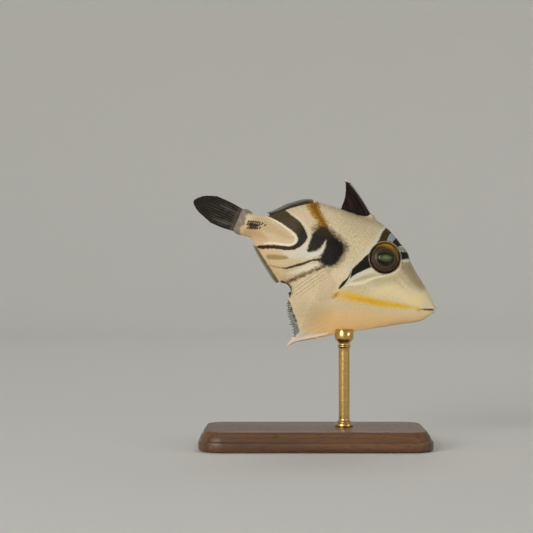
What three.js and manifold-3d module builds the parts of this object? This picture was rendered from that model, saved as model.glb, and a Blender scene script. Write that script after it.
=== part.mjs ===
// A juvenile Picasso triggerfish as a life-size still model on a plain display stand.
// Millimetres, +Z up, origin at the centre of the stand's underside. The head points to +X.
//
// The fish is drawn in its own frame and then pitched nose down. There a place is given by
// s, the distance back from the snout along the body's axis, h, the height above that axis,
// and y, the distance to the fish's left.
import * as THREE from "three";
import { mergeVertices } from "three/addons/utils/BufferGeometryUtils.js";
import Module from "manifold-3d";

const wasm = await Module();
wasm.setup();

// Driving dimensions
const fleshLength = 43.2; // snout to the end of the flesh at the tail
const pitch = THREE.MathUtils.degToRad(24.2); // nose down
const clearance = 20; // floor to the pelvic spine, the fish's lowest point
const gap = 0.3; // between pieces that touch
const eyeRadius = 3;
const eyeBulge = 1.75; // half the eyeball's thickness
const eyeDepth = 0.72; // skin to the eyeball's middle
const finThickness = 0.5; // a fin between its rays
const rayHeight = 0.12; // a ray above its membrane, on each face
const standSize = { length: 46, width: 26, height: 4, corner: 5, bevel: 0.5 };
const rodRadius = 1.1;
const cradleRadius = 1.9;

// Where things are on the body, as [s, h]
const eyeAt = [13.3, 5.05];
const mouthFront = [-0.45, -0.1];
const mouthCorner = [2.5, -1.4];
const pelvicTip = [23.75, -18.95];
const firstSpineFoot = [19.3, 10.95];
const firstSpineTip = [26.7, 16.0];
const rodUnder = [14.4, -12];

// A smooth curve through [s, value] pairs that never overshoots them.
function track(points) {
  const last = points.length - 1;
  const slope = (i) => (points[i + 1][1] - points[i][1]) / (points[i + 1][0] - points[i][0]);
  const tangent = points.map((_, i) => {
    if (i === 0) return slope(0);
    if (i === last) return slope(last - 1);
    const [a, b] = [slope(i - 1), slope(i)];
    return a * b <= 0 ? 0 : (2 * a * b) / (a + b);
  });
  return (s) => {
    let i = 0;
    while (i < last - 1 && s > points[i + 1][0]) i++;
    const run = points[i + 1][0] - points[i][0];
    const t = THREE.MathUtils.clamp((s - points[i][0]) / run, 0, 1);
    const [p, q] = [points[i][1], points[i + 1][1]];
    const [a, b] = [tangent[i] * run, tangent[i + 1] * run];
    return p + t * (a + t * (3 * (q - p) - 2 * a - b + t * (2 * (p - q) + a + b)));
  };
}

// The side outline without fins: the back from snout to tail, and the belly with its flap.
const backLine = track([
  [-0.3, -0.35], [0, 0.15], [1.4, 1.62], [7.8, 6.24], [8.6, 7.02], [9.2, 7.72], [9.8, 8.22],
  [10.5, 8.56], [11.2, 8.88], [13, 9.84], [15.7, 10.86], [18.4, 11.35], [21.5, 10.88], [25, 10.5],
  [27.5, 10.08], [29.2, 9.88], [30.4, 9.45], [34, 6.85], [37.9, 3.3], [40.3, 2.42], [42.1, 2.72],
  [43.2, 2.4],
]);
const bellyLine = track([
  [-0.3, -0.6], [0, -1.2], [1, -2.95], [1.8, -3.75], [5, -5.8], [9, -8.4], [16, -13], [19, -14.95],
  [20.5, -16], [22.9, -17.6], [23.3, -16.1], [24.8, -14.45], [26.2, -12.6], [27.15, -11.2],
  [27.4, -9.6], [27.75, -8.4], [29, -7.75], [30.3, -7.95], [31.2, -7.6], [33, -6.5], [35, -5.2],
  [36.6, -4.1], [38.2, -2.9], [39.5, -2.2], [40.3, -2.32], [42, -2.66], [43.2, -2.45],
]);

// The cross-section: half its width, the height where it is widest, and how its edges close.
const halfWidth = track([
  [-0.3, 0.4], [0, 0.75], [1.5, 1.35], [6, 2.5], [14, 3.85], [18, 4.15], [22, 4.1], [30, 2.9],
  [37.5, 1.6], [40, 1.35], [42.4, 1.15], [43.2, 0.8],
]);
const widestHeight = track([[-0.3, -0.48], [3, -0.8], [14, 0.5], [20, -0.4], [32, 1], [43.2, 0.08]]);
const backRound = track([[0, 0.5], [14, 0.5], [22, 0.68], [34, 0.66], [40, 0.52]]);
const bellyRound = track([[0, 0.5], [4, 0.55], [12, 0.85], [27, 0.9], [31, 0.66], [40, 0.52]]);
const bellyPower = track([[0, 2], [4, 1.9], [12, 1.45], [27, 1.4], [31, 1.9], [40, 2]]);
const flapHalf = track([[4, 0.1], [12, 0.5], [27.3, 0.55], [29, 0.1]]);

// Half the body's width at a point of its side view, 0 outside the outline.
function flank(s, h, grow = 0) {
  const [mid, top, low] = [widestHeight(s), backLine(s) + grow, bellyLine(s) - grow];
  if (h >= top || h <= low) return 0;
  const full = halfWidth(s) + grow;
  if (h > mid) return full * (1 - ((h - mid) / (top - mid)) ** 2) ** backRound(s);
  const share = (mid - h) / (mid - low);
  const wall = full * (1 - share ** bellyPower(s)) ** bellyRound(s);
  const skin = (flapHalf(s) + grow) * (1 - share ** 8) ** 0.5;
  return (wall ** 3 + skin ** 3) ** (1 / 3);
}

const at = (s, h, y = 0) => new THREE.Vector3(-s, y, h);
const { lerp } = THREE.MathUtils;

// A solid from closed geometry, whichever way its faces were listed.
function solidOf(geometry) {
  const g = geometry.clone();
  g.deleteAttribute("normal");
  g.deleteAttribute("uv");
  const merged = mergeVertices(g, 1e-4);
  const index = new Uint32Array(merged.index.array);
  const build = () =>
    new wasm.Manifold(
      new wasm.Mesh({
        numProp: 3,
        vertProperties: new Float32Array(merged.attributes.position.array),
        triVerts: index,
      }),
    );
  const solid = build();
  if (solid.volume() > 0) return solid;
  for (let i = 0; i < index.length; i += 3) [index[i], index[i + 1]] = [index[i + 1], index[i]];
  return build();
}

function geometryOf(solid) {
  const mesh = solid.getMesh();
  const g = new THREE.BufferGeometry();
  g.setAttribute("position", new THREE.BufferAttribute(new Float32Array(mesh.vertProperties), 3));
  g.setIndex(new THREE.BufferAttribute(new Uint32Array(mesh.triVerts), 1));
  g.computeVertexNormals();
  return g;
}

const joined = (solids) => solids.reduce((sum, solid) => sum.add(solid));
const largest = (solid) => solid.decompose().sort((a, b) => b.volume() - a.volume())[0];

// A closed skin over rings that all have the same number of points.
function loft(rings) {
  const count = rings[0].length;
  const points = rings.flat();
  const faces = [];
  for (let r = 0; r < rings.length - 1; r++)
    for (let i = 0; i < count; i++) {
      const [a, b] = [r * count + i, r * count + ((i + 1) % count)];
      faces.push(a, b, b + count, a, b + count, a + count);
    }
  const close = (first, flip) => {
    const hub = points.slice(first, first + count).reduce((sum, p) => sum.add(p), at(0, 0));
    const centre = points.push(hub.divideScalar(count)) - 1;
    for (let i = 0; i < count; i++) {
      const [a, b] = [first + i, first + ((i + 1) % count)];
      faces.push(...(flip ? [b, a, centre] : [a, b, centre]));
    }
  };
  close(0, true);
  close((rings.length - 1) * count, false);
  const g = new THREE.BufferGeometry().setFromPoints(points);
  return g.setIndex(faces);
}

// A round rod along a smooth line, its radius given as a function of the way along it.
function taperedRod(line, radius, steps, sides) {
  const curve = new THREE.CatmullRomCurve3(line);
  const frames = curve.computeFrenetFrames(steps, false);
  const rings = [];
  for (let i = 0; i <= steps; i++) {
    const ring = [];
    for (let k = 0; k < sides; k++) {
      const turn = (2 * Math.PI * k) / sides;
      const out = frames.normals[i].clone().multiplyScalar(Math.cos(turn));
      out.addScaledVector(frames.binormals[i], Math.sin(turn));
      ring.push(curve.getPointAt(i / steps).addScaledVector(out, radius(i / steps)));
    }
    rings.push(ring);
  }
  return solidOf(loft(rings));
}

// A small straight spine from its sunk root to its tip.
function spike(root, tip, radius) {
  const length = root.distanceTo(tip);
  const cone = new THREE.ConeGeometry(radius, length, 5).translate(0, length / 2, 0);
  const way = tip.clone().sub(root).normalize();
  cone.applyQuaternion(new THREE.Quaternion().setFromUnitVectors(new THREE.Vector3(0, 1, 0), way));
  return solidOf(cone.translate(root.x, root.y, root.z));
}

// A small ellipsoid: size is its half axes along the body, across it and up.
function knob(centre, size, around = 7) {
  const ball = new THREE.SphereGeometry(1, around, Math.round(around * 0.75));
  ball.scale(size[0], size[1], size[2]).translate(centre.x, centre.y, centre.z);
  return solidOf(ball);
}

// A fin: a thin sheet whose rays are raised on both faces. place(u, v) is a point of its middle
// surface, u from the first ray to the last and v from root to edge. Both faces split alike.
function fin(rays, rows, place) {
  const columns = 2 * rays - 1;
  const step = 1e-3;
  const front = [];
  const back = [];
  for (let c = 0; c < columns; c++)
    for (let r = 0; r <= rows; r++) {
      const [u, v] = [c / (columns - 1), r / rows];
      const [u0, v0] = [Math.min(u, 1 - step), Math.min(v, 1 - step)];
      const across = place(u0 + step, v0).sub(place(u0, v0));
      const out = place(u0, v0 + step).sub(place(u0, v0));
      const normal = across.cross(out).normalize();
      const ray = c % 2 === 0 ? rayHeight * (1 - 0.5 * v) : 0;
      const half = (finThickness / 2) * (1 - 0.35 * v) + ray;
      front.push(place(u, v).addScaledVector(normal, half));
      back.push(place(u, v).addScaledVector(normal, -half));
    }
  const size = front.length;
  const id = (c, r) => c * (rows + 1) + r;
  const faces = [];
  for (let c = 0; c < columns - 1; c++)
    for (let r = 0; r < rows; r++) {
      const [a, b, d, e] = [id(c, r), id(c + 1, r), id(c + 1, r + 1), id(c, r + 1)];
      faces.push(a, b, d, a, d, e);
      faces.push(b + size, a + size, d + size, d + size, a + size, e + size);
    }
  const rim = [];
  for (let c = 0; c < columns - 1; c++) rim.push(id(c, 0));
  for (let r = 0; r < rows; r++) rim.push(id(columns - 1, r));
  for (let c = columns - 1; c > 0; c--) rim.push(id(c, rows));
  for (let r = rows; r > 0; r--) rim.push(id(0, r));
  rim.forEach((a, i) => {
    const b = rim[(i + 1) % rim.length];
    faces.push(b, a, a + size, b, a + size, b + size);
  });
  const g = new THREE.BufferGeometry().setFromPoints([...front, ...back]);
  return solidOf(g.setIndex(faces));
}

// The plain body as one solid, grown outwards by some amount.
function bodySolid(grow) {
  const stations = [-0.3, -0.15, 0.1, 0.5, 1];
  for (let s = 1.8; s < 22; s += 1.2) stations.push(s);
  stations.push(22.4, 22.9, 23.1, 23.3, 24.1, 24.9, 25.6, 26.2, 26.7, 27.15, 27.4, 27.75, 28.4);
  for (let s = 29.2; s < 42; s += 1.1) stations.push(s);
  stations.push(42.4, 42.9, fleshLength);
  const quarter = 9;
  const rings = stations.map((s, index) => {
    const [mid, top, low] = [widestHeight(s), backLine(s) + grow, bellyLine(s) - grow];
    const end = index === 0 ? -grow : index === stations.length - 1 ? grow : 0;
    const ring = [];
    for (let i = 0; i < 4 * quarter; i++) {
      const lift = Math.sin((Math.PI / 2) * (i / quarter));
      const h = mid + lift * (lift > 0 ? top - mid : mid - low);
      const side = i < quarter || i > 3 * quarter ? 1 : -1;
      const onEdge = i === quarter || i === 3 * quarter;
      ring.push(at(s + end, h, onEdge ? 0 : side * flank(s, h, grow)));
    }
    return ring;
  });
  return solidOf(loft(rings));
}

// A flat box whose middle line runs between two places of the side view, for parting cuts.
function slab(from, to, thickness, width) {
  const [a, b] = [at(...from), at(...to)];
  const box = new THREE.BoxGeometry(a.distanceTo(b), width, thickness);
  box.rotateY(-Math.atan2(b.z - a.z, b.x - a.x));
  const middle = a.add(b).multiplyScalar(0.5);
  return solidOf(box.translate(middle.x, middle.y, middle.z));
}

// Head: eyes, lips, nostrils and gill slit

// A shape drawn round +Z, moved to an eye so that +Z looks out of it, some depth below the skin.
function inEyeFrame(geometry, side, depth) {
  const [s, h] = eyeAt;
  const outward = new THREE.Vector3(0.12, side, 0.21).normalize();
  geometry.applyQuaternion(new THREE.Quaternion().setFromUnitVectors(at(0, 1), outward));
  const place = at(s, h, side * flank(s, h)).addScaledVector(outward, -depth);
  return solidOf(geometry.translate(place.x, place.y, place.z));
}

function eyeball(side, grow) {
  const ball = new THREE.SphereGeometry(1, 24, 12).rotateX(Math.PI / 2);
  ball.scale(eyeRadius + grow, eyeRadius + grow, eyeBulge + grow);
  return inEyeFrame(ball, side, eyeDepth);
}

function eyeRim(side) {
  return inEyeFrame(new THREE.TorusGeometry(eyeRadius + 0.42, 0.3, 6, 24), side, 0.12);
}

// A lip is a soft roll that runs round the snout from one corner of the mouth to the other.
function lip(rise, size) {
  const line = [];
  for (let i = 0; i <= 8; i++) {
    const turn = (Math.PI * i) / 8 - Math.PI / 2;
    const t = 0.82 * (1 - Math.cos(turn)) + 0.18;
    const [s, h] = [lerp(mouthFront[0], mouthCorner[0], t), lerp(mouthFront[1], mouthCorner[1], t)];
    line.push(at(s, h + rise, 1.0 * Math.sin(turn)));
  }
  return taperedRod(line, (t) => size * (0.5 + 0.5 * Math.sin(Math.PI * t)), 16, 8);
}

function sidePit(s, h, side, radius) {
  return knob(at(s, h, side * flank(s, h)), [radius, 0.35, radius]);
}

// A groove that bows forwards down the side of the head.
function sideGroove(from, to, side, radius) {
  const line = [];
  for (let i = 0; i <= 4; i++) {
    const s = lerp(from[0], to[0], i / 4) - 0.25 * Math.sin((Math.PI * i) / 4);
    const h = lerp(from[1], to[1], i / 4);
    line.push(at(s, h, side * (flank(s, h) + 0.1)));
  }
  return taperedRod(line, () => radius, 8, 6);
}

// Pelvic flap: a rough keel that ends in a spine, and the lobed edge of the skin behind it

const keelLine = [[17.3, -13.3], [20, -15.15], [22.5, -16.9], [23.3, -17.9], pelvicTip];
const flapEdge = track([[-17.2, 23.3], [-16, 23.4], [-14.4, 24.85], [-12.5, 26.3], [-9.6, 27.4]]);

function keel() {
  const line = keelLine.map(([s, h]) => at(s, h));
  return taperedRod(line, (t) => 0.55 - 0.35 * t ** 6, 16, 8);
}

// Small raised plates along both sides of the keel's end.
function keelPlates() {
  const plates = [];
  for (let i = 0; i < 8; i++)
    for (const side of [-1, 1]) {
      const t = i / 7;
      const [s, h] = [lerp(19.6, 23.3, t), lerp(-15.0, -17.8, t ** 1.15)];
      plates.push(knob(at(s, h, side * 0.42), [0.34, 0.26 - 0.06 * t, 0.22], 6));
    }
  return plates;
}

function flapLobes() {
  const lobes = [];
  for (let i = 0; i < 10; i++) {
    const h = lerp(-17.0, -9.9, i / 9);
    const size = 0.46 + 0.12 * Math.sin(2.3 * i);
    lobes.push(knob(at(flapEdge(h) - 0.12, h), [size, 0.42, 0.42], 6));
  }
  return lobes;
}

// Tail base: three rows of small spines that lean forwards, on each side

function tailSpines() {
  const spines = [];
  for (const side of [-1, 1])
    for (let row = 0; row < 3; row++)
      for (let i = 0; i < 6; i++) {
        const [s, h] = [38.3 + 0.5 * i + 0.12 * row, 1 - 0.58 * row];
        const y = side * flank(s, h);
        spines.push(spike(at(s + 0.2, h, y - side * 0.25), at(s - 0.25, h, y + side * 0.42), 0.24));
      }
  return spines;
}

// The flesh as one solid, parted by thin cuts behind the head, above the flap and at the tail

const spineFoot = (grow) => knob(at(19.1, 11.2), [1.1 + grow, 0.8 + grow, 0.95 + grow], 10);
const clearOfBody = bodySolid(gap).add(spineFoot(gap));

let flesh = joined([
  bodySolid(0), spineFoot(0), lip(0.4, 0.45), lip(-0.45, 0.45), keel(),
  ...keelPlates(), ...flapLobes(), ...tailSpines(), eyeRim(-1), eyeRim(1),
]);
for (const side of [-1, 1])
  flesh = flesh
    .subtract(eyeball(side, gap))
    .subtract(sidePit(9.7, 5.5, side, 0.26))
    .subtract(sidePit(9.2, 4.85, side, 0.22))
    .subtract(sideGroove([18.25, -0.9], [19.05, -4.1], side, 0.26));
flesh = flesh
  .subtract(slab(mouthFront, mouthCorner, gap, 5))
  .subtract(slab([17.2, 14], [18.0, -20], gap, 14))
  .subtract(slab([17.75, -9.2], [29.5, -9.0], gap, 14))
  .subtract(slab([37.7, 8], [37.7, -8], gap, 14));

// The piece of the parted flesh whose box is centred nearest to a place.
function fleshNear(s, h) {
  const distance = (piece) => {
    const { min, max } = piece.boundingBox();
    return Math.hypot((min[0] + max[0]) / 2 + s, (min[2] + max[2]) / 2 - h);
  };
  return flesh.decompose()
    .filter((piece) => piece.volume() > 1)
    .sort((a, b) => distance(a) - distance(b))[0];
}

// Fins

// A soft fin on the body's edge, swept to the fish's left. root gives the edge's height, up is 1
// on the back and -1 below, and off is how far the fin's root stands off the edge. The rays lean
// back and curl over as they go out.
function sweptFin({ rays, from, to, root, up, off, length, lean, angles }) {
  const [a, b] = angles.map(THREE.MathUtils.degToRad);
  const step = 0.05;
  return fin(rays, 7, (u, v) => {
    const s = lerp(from, to, u);
    const slope = (root(s + step) - root(s - step)) / (2 * step);
    const along = at(1, slope).normalize();
    const outward = at(-up * slope, up).normalize();
    const turn = a + (b - a) * v;
    const rise = (Math.sin(turn) - Math.sin(a)) / (b - a);
    const swing = (Math.cos(a) - Math.cos(turn)) / (b - a);
    const reach = length(u);
    return at(s, root(s))
      .addScaledVector(outward, off + rise * reach)
      .addScaledVector(at(0, 0, 1), swing * reach)
      .addScaledVector(along, lean * v * reach);
  });
}

function secondDorsalFin() {
  const length = track([[0, 2.4], [0.1, 3.9], [0.22, 4.5], [0.5, 4.0], [1, 1.6]]);
  const shape = { rays: 13, from: 30.6, to: 37.6, root: backLine, up: 1, off: 0.35, length };
  return sweptFin({ ...shape, lean: 0.28, angles: [70, 92] });
}

function analFin() {
  const length = track([[0, 3.2], [0.18, 4.3], [0.5, 3.6], [1, 1.5]]);
  const shape = { rays: 12, from: 30.5, to: 37.6, root: bellyLine, up: -1, off: 0.3, length };
  return sweptFin({ ...shape, lean: 0.3, angles: [80, 96] });
}

// The closed tail fin: a narrow paddle with a blunt, slightly hooked end.
function caudalFin() {
  const edgeS = track([[0, 48.9], [0.25, 51.4], [0.5, 52.75], [0.75, 51.6], [1, 47.9]]);
  const edgeH = track([[0, 2.6], [0.25, 1.5], [0.5, -0.15], [0.75, -1.4], [1, -2.7]]);
  return fin(11, 10, (u, v) => {
    const rootS = fleshLength + gap + 0.02;
    const rootH = lerp(2.4, -2.45, u);
    const bow = 0.16 * Math.sin(Math.PI * v) * Math.cos(Math.PI * u);
    return at(lerp(rootS, edgeS(u), v), lerp(rootH, edgeH(u), v) + bow, 0.5 * v * v);
  });
}

// The first dorsal fin: three spines, the first long and stout, and the membrane behind them.
function firstDorsalFin() {
  const rootS = (u) => lerp(firstSpineFoot[0] + 0.4, 25.1, u);
  const edgeS = track([[0, firstSpineTip[0]], [0.33, 25.75], [0.66, 25.3], [1, 25.2]]);
  const edgeH = track([[0, firstSpineTip[1]], [0.33, 14.1], [0.66, 12.4], [1, 11.3]]);
  const membrane = fin(4, 8, (u, v) => {
    const s = rootS(u);
    return at(lerp(s, edgeS(u), v), lerp(backLine(s), edgeH(u), v));
  });
  const spine = (from, to, radius, bow) => {
    const middle = at(lerp(from[0], to[0], 0.5), lerp(from[1], to[1], 0.5) + bow);
    return taperedRod([at(...from), middle, at(...to)], (t) => radius * (1 - 0.62 * t), 10, 8);
  };
  const grit = [];
  for (let i = 0; i < 9; i++) {
    const t = 0.1 + 0.09 * i;
    const s = lerp(firstSpineFoot[0], firstSpineTip[0], t);
    const h = lerp(firstSpineFoot[1], firstSpineTip[1], t);
    const y = i % 2 ? 0.14 : -0.14;
    grit.push(spike(at(s, h + 0.1, y), at(s - 0.1, h + 0.86 - 0.34 * t, 2 * y), 0.24));
  }
  return joined([
    membrane, ...grit,
    spine(firstSpineFoot, firstSpineTip, 0.56, 0.18),
    spine([21.4, 10.7], [25.7, 14.0], 0.36, 0.1),
    spine([23.2, 10.5], [25.25, 12.3], 0.3, 0.05),
    knob(at(26.6, 16.15), [0.36, 0.3, 0.34]),
  ]);
}

// A pectoral fin: a small rounded fan that stands a little off the flank.
function pectoralFin(side) {
  const length = track([[0, 4.6], [0.25, 5.3], [0.6, 4.9], [1, 3.2]]);
  return fin(8, 7, (u, v) => {
    const [s, h] = [19.6, lerp(-3.9, -6.0, u)];
    const spread = THREE.MathUtils.degToRad(lerp(30, -42, u));
    const off = THREE.MathUtils.degToRad(lerp(34, 22, v));
    const reach = length(u) * v;
    const root = at(s, h, side * flank(s, h));
    const [back, rise] = [Math.cos(spread) * Math.cos(off), Math.sin(spread)];
    return root.add(at(back * reach, rise * reach, side * Math.sin(off) * reach));
  });
}

// Assembly

const skinCream = { color: 0xdec89e, roughness: 0.5 };
const finGlassy = { color: 0xa9a49a, roughness: 0.4 };
const spineDark = { color: 0x4a3b35, roughness: 0.55 };
const eyeDark = { color: 0x3a3020, roughness: 0.15 };
const standWood = { color: 0x5a3a24, roughness: 0.45 };
const standBrass = { color: 0xb08d4f, roughness: 0.3, metalness: 1 };

function named(name, solid, look) {
  const mesh = new THREE.Mesh(geometryOf(solid), new THREE.MeshStandardMaterial(look));
  mesh.name = name;
  return mesh;
}

const offBody = (solid) => largest(solid.subtract(clearOfBody));

const fish = new THREE.Group();
fish.name = "fish";
fish.rotation.y = pitch;
fish.add(
  named("head", fleshNear(8, 0), skinCream),
  named("torso", fleshNear(28, 1), skinCream),
  named("pelvic_flap", fleshNear(23, -14), skinCream),
  named("tail_base", fleshNear(40, 0), skinCream),
  named("caudal_fin", caudalFin(), finGlassy),
  named("first_dorsal_fin", offBody(firstDorsalFin()), spineDark),
  named("second_dorsal_fin", offBody(secondDorsalFin()), finGlassy),
  named("anal_fin", offBody(analFin()), finGlassy),
);
for (const [name, side] of [["left", 1], ["right", -1]]) {
  fish.add(named(`pectoral_fin_${name}`, offBody(pectoralFin(side)), finGlassy));
  fish.add(named(`eye_${name}`, eyeball(side, 0), eyeDark));
}

// The fish is centred over the stand, with the pelvic spine at its clearance.
const reach = new THREE.Box3().setFromObject(fish, true);
fish.position.x = -(reach.min.x + reach.max.x) / 2;
fish.position.z = clearance - reach.min.z;
fish.updateMatrixWorld(true);

// Stand: a bevelled block and a rod whose cradle takes the belly's edge.
function standBase() {
  const { length, width, height, corner, bevel } = standSize;
  const [x, y] = [length / 2 - bevel, width / 2 - bevel];
  const outline = new THREE.Shape();
  outline.absarc(x - corner, y - corner, corner, 0, Math.PI / 2);
  outline.absarc(-x + corner, y - corner, corner, Math.PI / 2, Math.PI);
  outline.absarc(-x + corner, -y + corner, corner, Math.PI, 1.5 * Math.PI);
  outline.absarc(x - corner, -y + corner, corner, 1.5 * Math.PI, 2 * Math.PI);
  const block = new THREE.ExtrudeGeometry(outline, {
    depth: height - 2 * bevel, bevelSize: bevel, bevelThickness: bevel, bevelSegments: 2,
    curveSegments: 6,
  });
  return solidOf(block.translate(0, 0, bevel));
}

function standRod() {
  const top = fish.localToWorld(at(...rodUnder));
  const foot = standSize.height + gap;
  const profile = [
    [0, foot], [rodRadius + 0.7, foot], [rodRadius + 0.7, foot + 0.8], [rodRadius, foot + 1.1],
    [rodRadius, top.z - 3], [cradleRadius, top.z - 1.2], [cradleRadius, top.z + 0.9], [0, top.z + 0.9],
  ].map(([r, z]) => new THREE.Vector2(r, z));
  const rod = new THREE.LatheGeometry(profile, 24).rotateX(Math.PI / 2);
  const solid = solidOf(rod.translate(top.x, 0, 0));
  return largest(solid.subtract(clearOfBody.transform(fish.matrixWorld.elements)));
}

const model = new THREE.Group();
model.add(fish, named("stand_base", standBase(), standWood), named("stand_rod", standRod(), standBrass));

export default model;
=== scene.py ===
import math

import bpy
import numpy as np
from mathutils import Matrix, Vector
from mathutils.bvhtree import BVHTree


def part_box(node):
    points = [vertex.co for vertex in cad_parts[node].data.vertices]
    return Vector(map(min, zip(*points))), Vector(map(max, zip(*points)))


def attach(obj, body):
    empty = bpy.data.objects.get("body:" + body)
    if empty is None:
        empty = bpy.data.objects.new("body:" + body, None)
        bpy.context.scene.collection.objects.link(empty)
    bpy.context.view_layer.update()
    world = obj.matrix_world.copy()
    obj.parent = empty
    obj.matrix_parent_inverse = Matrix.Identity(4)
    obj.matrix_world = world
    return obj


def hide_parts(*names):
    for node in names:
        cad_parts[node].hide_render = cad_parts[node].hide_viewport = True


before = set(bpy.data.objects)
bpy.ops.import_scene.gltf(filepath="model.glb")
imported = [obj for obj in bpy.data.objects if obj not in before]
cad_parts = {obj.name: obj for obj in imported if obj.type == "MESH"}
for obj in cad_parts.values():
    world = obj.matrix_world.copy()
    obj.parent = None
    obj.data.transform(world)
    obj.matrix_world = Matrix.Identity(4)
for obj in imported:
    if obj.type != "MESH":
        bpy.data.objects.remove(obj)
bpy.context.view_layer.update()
mm = 0.001

# The fish is drawn in its own frame, in millimetres: s runs back from the snout along the
# body's axis, h is the height above that axis and y the distance to the fish's left.
fish = dict(
    pitch=math.radians(24.2),  # nose down
    ends=(-0.3, 43.2),  # of the flesh, at the lips and at the tail
    eyeAt=(13.3, 5.05),
    eyeRadius=3.0,
    eyeBulge=1.75,  # half the eyeball's thickness
    eyeDepth=0.72,  # skin to the eyeball's middle
    eyeLooks=(0.12, 1.0, 0.21),  # forwards, sideways, up
)


def lerp(a, b, t):
    return a + (b - a) * t


def smoothStep(low, high, x):
    t = np.clip((x - low) / (high - low), 0, 1)
    return t * t * (3 - 2 * t)


# A groove's depth and a bead's height, from 1 in the middle, at a distance from the middle
def groove(distance, half, power=1):
    return np.clip(1 - (distance / half) ** 2, 0, 1) ** power


def bead(distance, half):
    return np.exp(-((distance / half) ** 2))


def circle(count):
    return np.linspace(0, 2 * math.pi, count, endpoint=False)


# A smooth curve through (place, value) pairs that never overshoots them.
def track(points):
    x, y = np.array(points, float).T
    slope = np.diff(y) / np.diff(x)
    tangent = np.concatenate([slope[:1], np.zeros(len(x) - 2), slope[-1:]])
    before, after = slope[:-1], slope[1:]
    same = before * after > 0
    tangent[1:-1][same] = (2 * before * after / np.where(same, before + after, 1))[same]

    def value(s):
        s = np.asarray(s, float)
        i = np.clip(np.searchsorted(x, s, side="right") - 1, 0, len(x) - 2)
        run = x[i + 1] - x[i]
        t = np.clip((s - x[i]) / run, 0, 1)
        p, q, a, b = y[i], y[i + 1], tangent[i] * run, tangent[i + 1] * run
        return p + t * (a + t * (3 * (q - p) - 2 * a - b + t * (2 * (p - q) + a + b)))

    return value


# Body shape: side outline, half width, where the section is widest, and how its edges close
body = dict(
    back=track([(-0.3, -0.35), (0, 0.15), (1.4, 1.62), (7.8, 6.24), (8.6, 7.02), (9.2, 7.72),
                (9.8, 8.22), (10.5, 8.56), (11.2, 8.88), (13, 9.84), (15.7, 10.86),
                (18.4, 11.35), (21.5, 10.88), (25, 10.5), (27.5, 10.08), (29.2, 9.88),
                (30.4, 9.45), (34, 6.85), (37.9, 3.3), (40.3, 2.42), (42.1, 2.72), (43.2, 2.4)]),
    belly=track([(-0.3, -0.6), (0, -1.2), (1, -2.95), (1.8, -3.75), (5, -5.8), (9, -8.4),
                 (16, -13), (19, -14.95), (20.5, -16), (22.9, -17.6), (23.3, -16.1),
                 (24.8, -14.45), (26.2, -12.6), (27.15, -11.2), (27.4, -9.6), (27.75, -8.4),
                 (29, -7.75), (30.3, -7.95), (31.2, -7.6), (33, -6.5), (35, -5.2),
                 (36.6, -4.1), (38.2, -2.9), (39.5, -2.2), (40.3, -2.32), (42, -2.66),
                 (43.2, -2.45)]),
    half=track([(-0.3, 0.4), (0, 0.75), (1.5, 1.35), (6, 2.5), (14, 3.85), (18, 4.15), (22, 4.1),
                (30, 2.9), (37.5, 1.6), (40, 1.35), (42.4, 1.15), (43.2, 0.8)]),
    widest=track([(-0.3, -0.48), (3, -0.8), (14, 0.5), (20, -0.4), (32, 1), (43.2, 0.08)]),
    backRound=track([(0, 0.5), (14, 0.5), (22, 0.68), (34, 0.66), (40, 0.52)]),
    bellyRound=track([(0, 0.5), (4, 0.55), (12, 0.85), (27, 0.9), (31, 0.66), (40, 0.52)]),
    bellyPower=track([(0, 2), (4, 1.9), (12, 1.45), (27, 1.4), (31, 1.9), (40, 2)]),
    flap=track([(4, 0.1), (12, 0.5), (27.3, 0.55), (29, 0.1)]),
)


# Half the body's width at places of its side view, 0 outside the outline.
def flank(s, h):
    s, h = np.broadcast_arrays(np.asarray(s, float), np.asarray(h, float))
    mid, top, low = body["widest"](s), body["back"](s), body["belly"](s)
    full = body["half"](s)
    up = np.clip((h - mid) / (top - mid), 0, 1)
    down = np.clip((mid - h) / (mid - low), 0, 1)
    upper = full * (1 - up**2) ** body["backRound"](s)
    wall = full * (1 - down ** body["bellyPower"](s)) ** body["bellyRound"](s)
    skin = body["flap"](s) * (1 - down**8) ** 0.5
    return np.where(h > mid, upper, (wall**3 + skin**3) ** (1 / 3))


# Heights round the section at s: lift is 1 at the back, 0 where it is widest and -1 at the belly.
def sectionHeight(s, lift):
    mid, top, low = body["widest"](s), body["back"](s), body["belly"](s)
    return mid + lift * np.where(lift > 0, top - mid, mid - low)


def at(s, h, y=0.0):
    s, h, y = np.broadcast_arrays(np.asarray(s, float), h, y)
    return np.stack([-s, y, h], axis=-1)


def unit(v):
    v = np.asarray(v, float)
    return v / np.maximum(np.linalg.norm(v, axis=-1, keepdims=True), 1e-12)


# An eye: the middle of its ball, and its forward, up and outward directions.
def eyeAxes(side):
    s, h = fish["eyeAt"]
    out = unit(np.array(fish["eyeLooks"]) * (1, side, 1))
    middle = at(s, h, side * flank(s, h)) - out * fish["eyeDepth"]
    ahead = unit(np.array([1.0, 0, 0]) - out * out[0])
    return middle, ahead, np.cross(ahead, out) * side, out


def fromEye(s, h):
    return np.hypot(s - fish["eyeAt"][0], h - fish["eyeAt"][1])


def pitched(points):
    c, d = math.cos(fish["pitch"]), math.sin(fish["pitch"])
    x, y, z = np.moveaxis(np.asarray(points, float), -1, 0)
    return np.stack([x * c + z * d, y, z * c - x * d], axis=-1)


# Where the fish stands in the row's frame is read off the CAD's eyes
eyeCorners = np.array([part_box("eye_right"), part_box("eye_left")], float)
bothEyes = (eyeAxes(1)[0] + eyeAxes(-1)[0]) / 2
rowShift = eyeCorners.mean(axis=(0, 1)) - pitched(bothEyes) * mm


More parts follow.
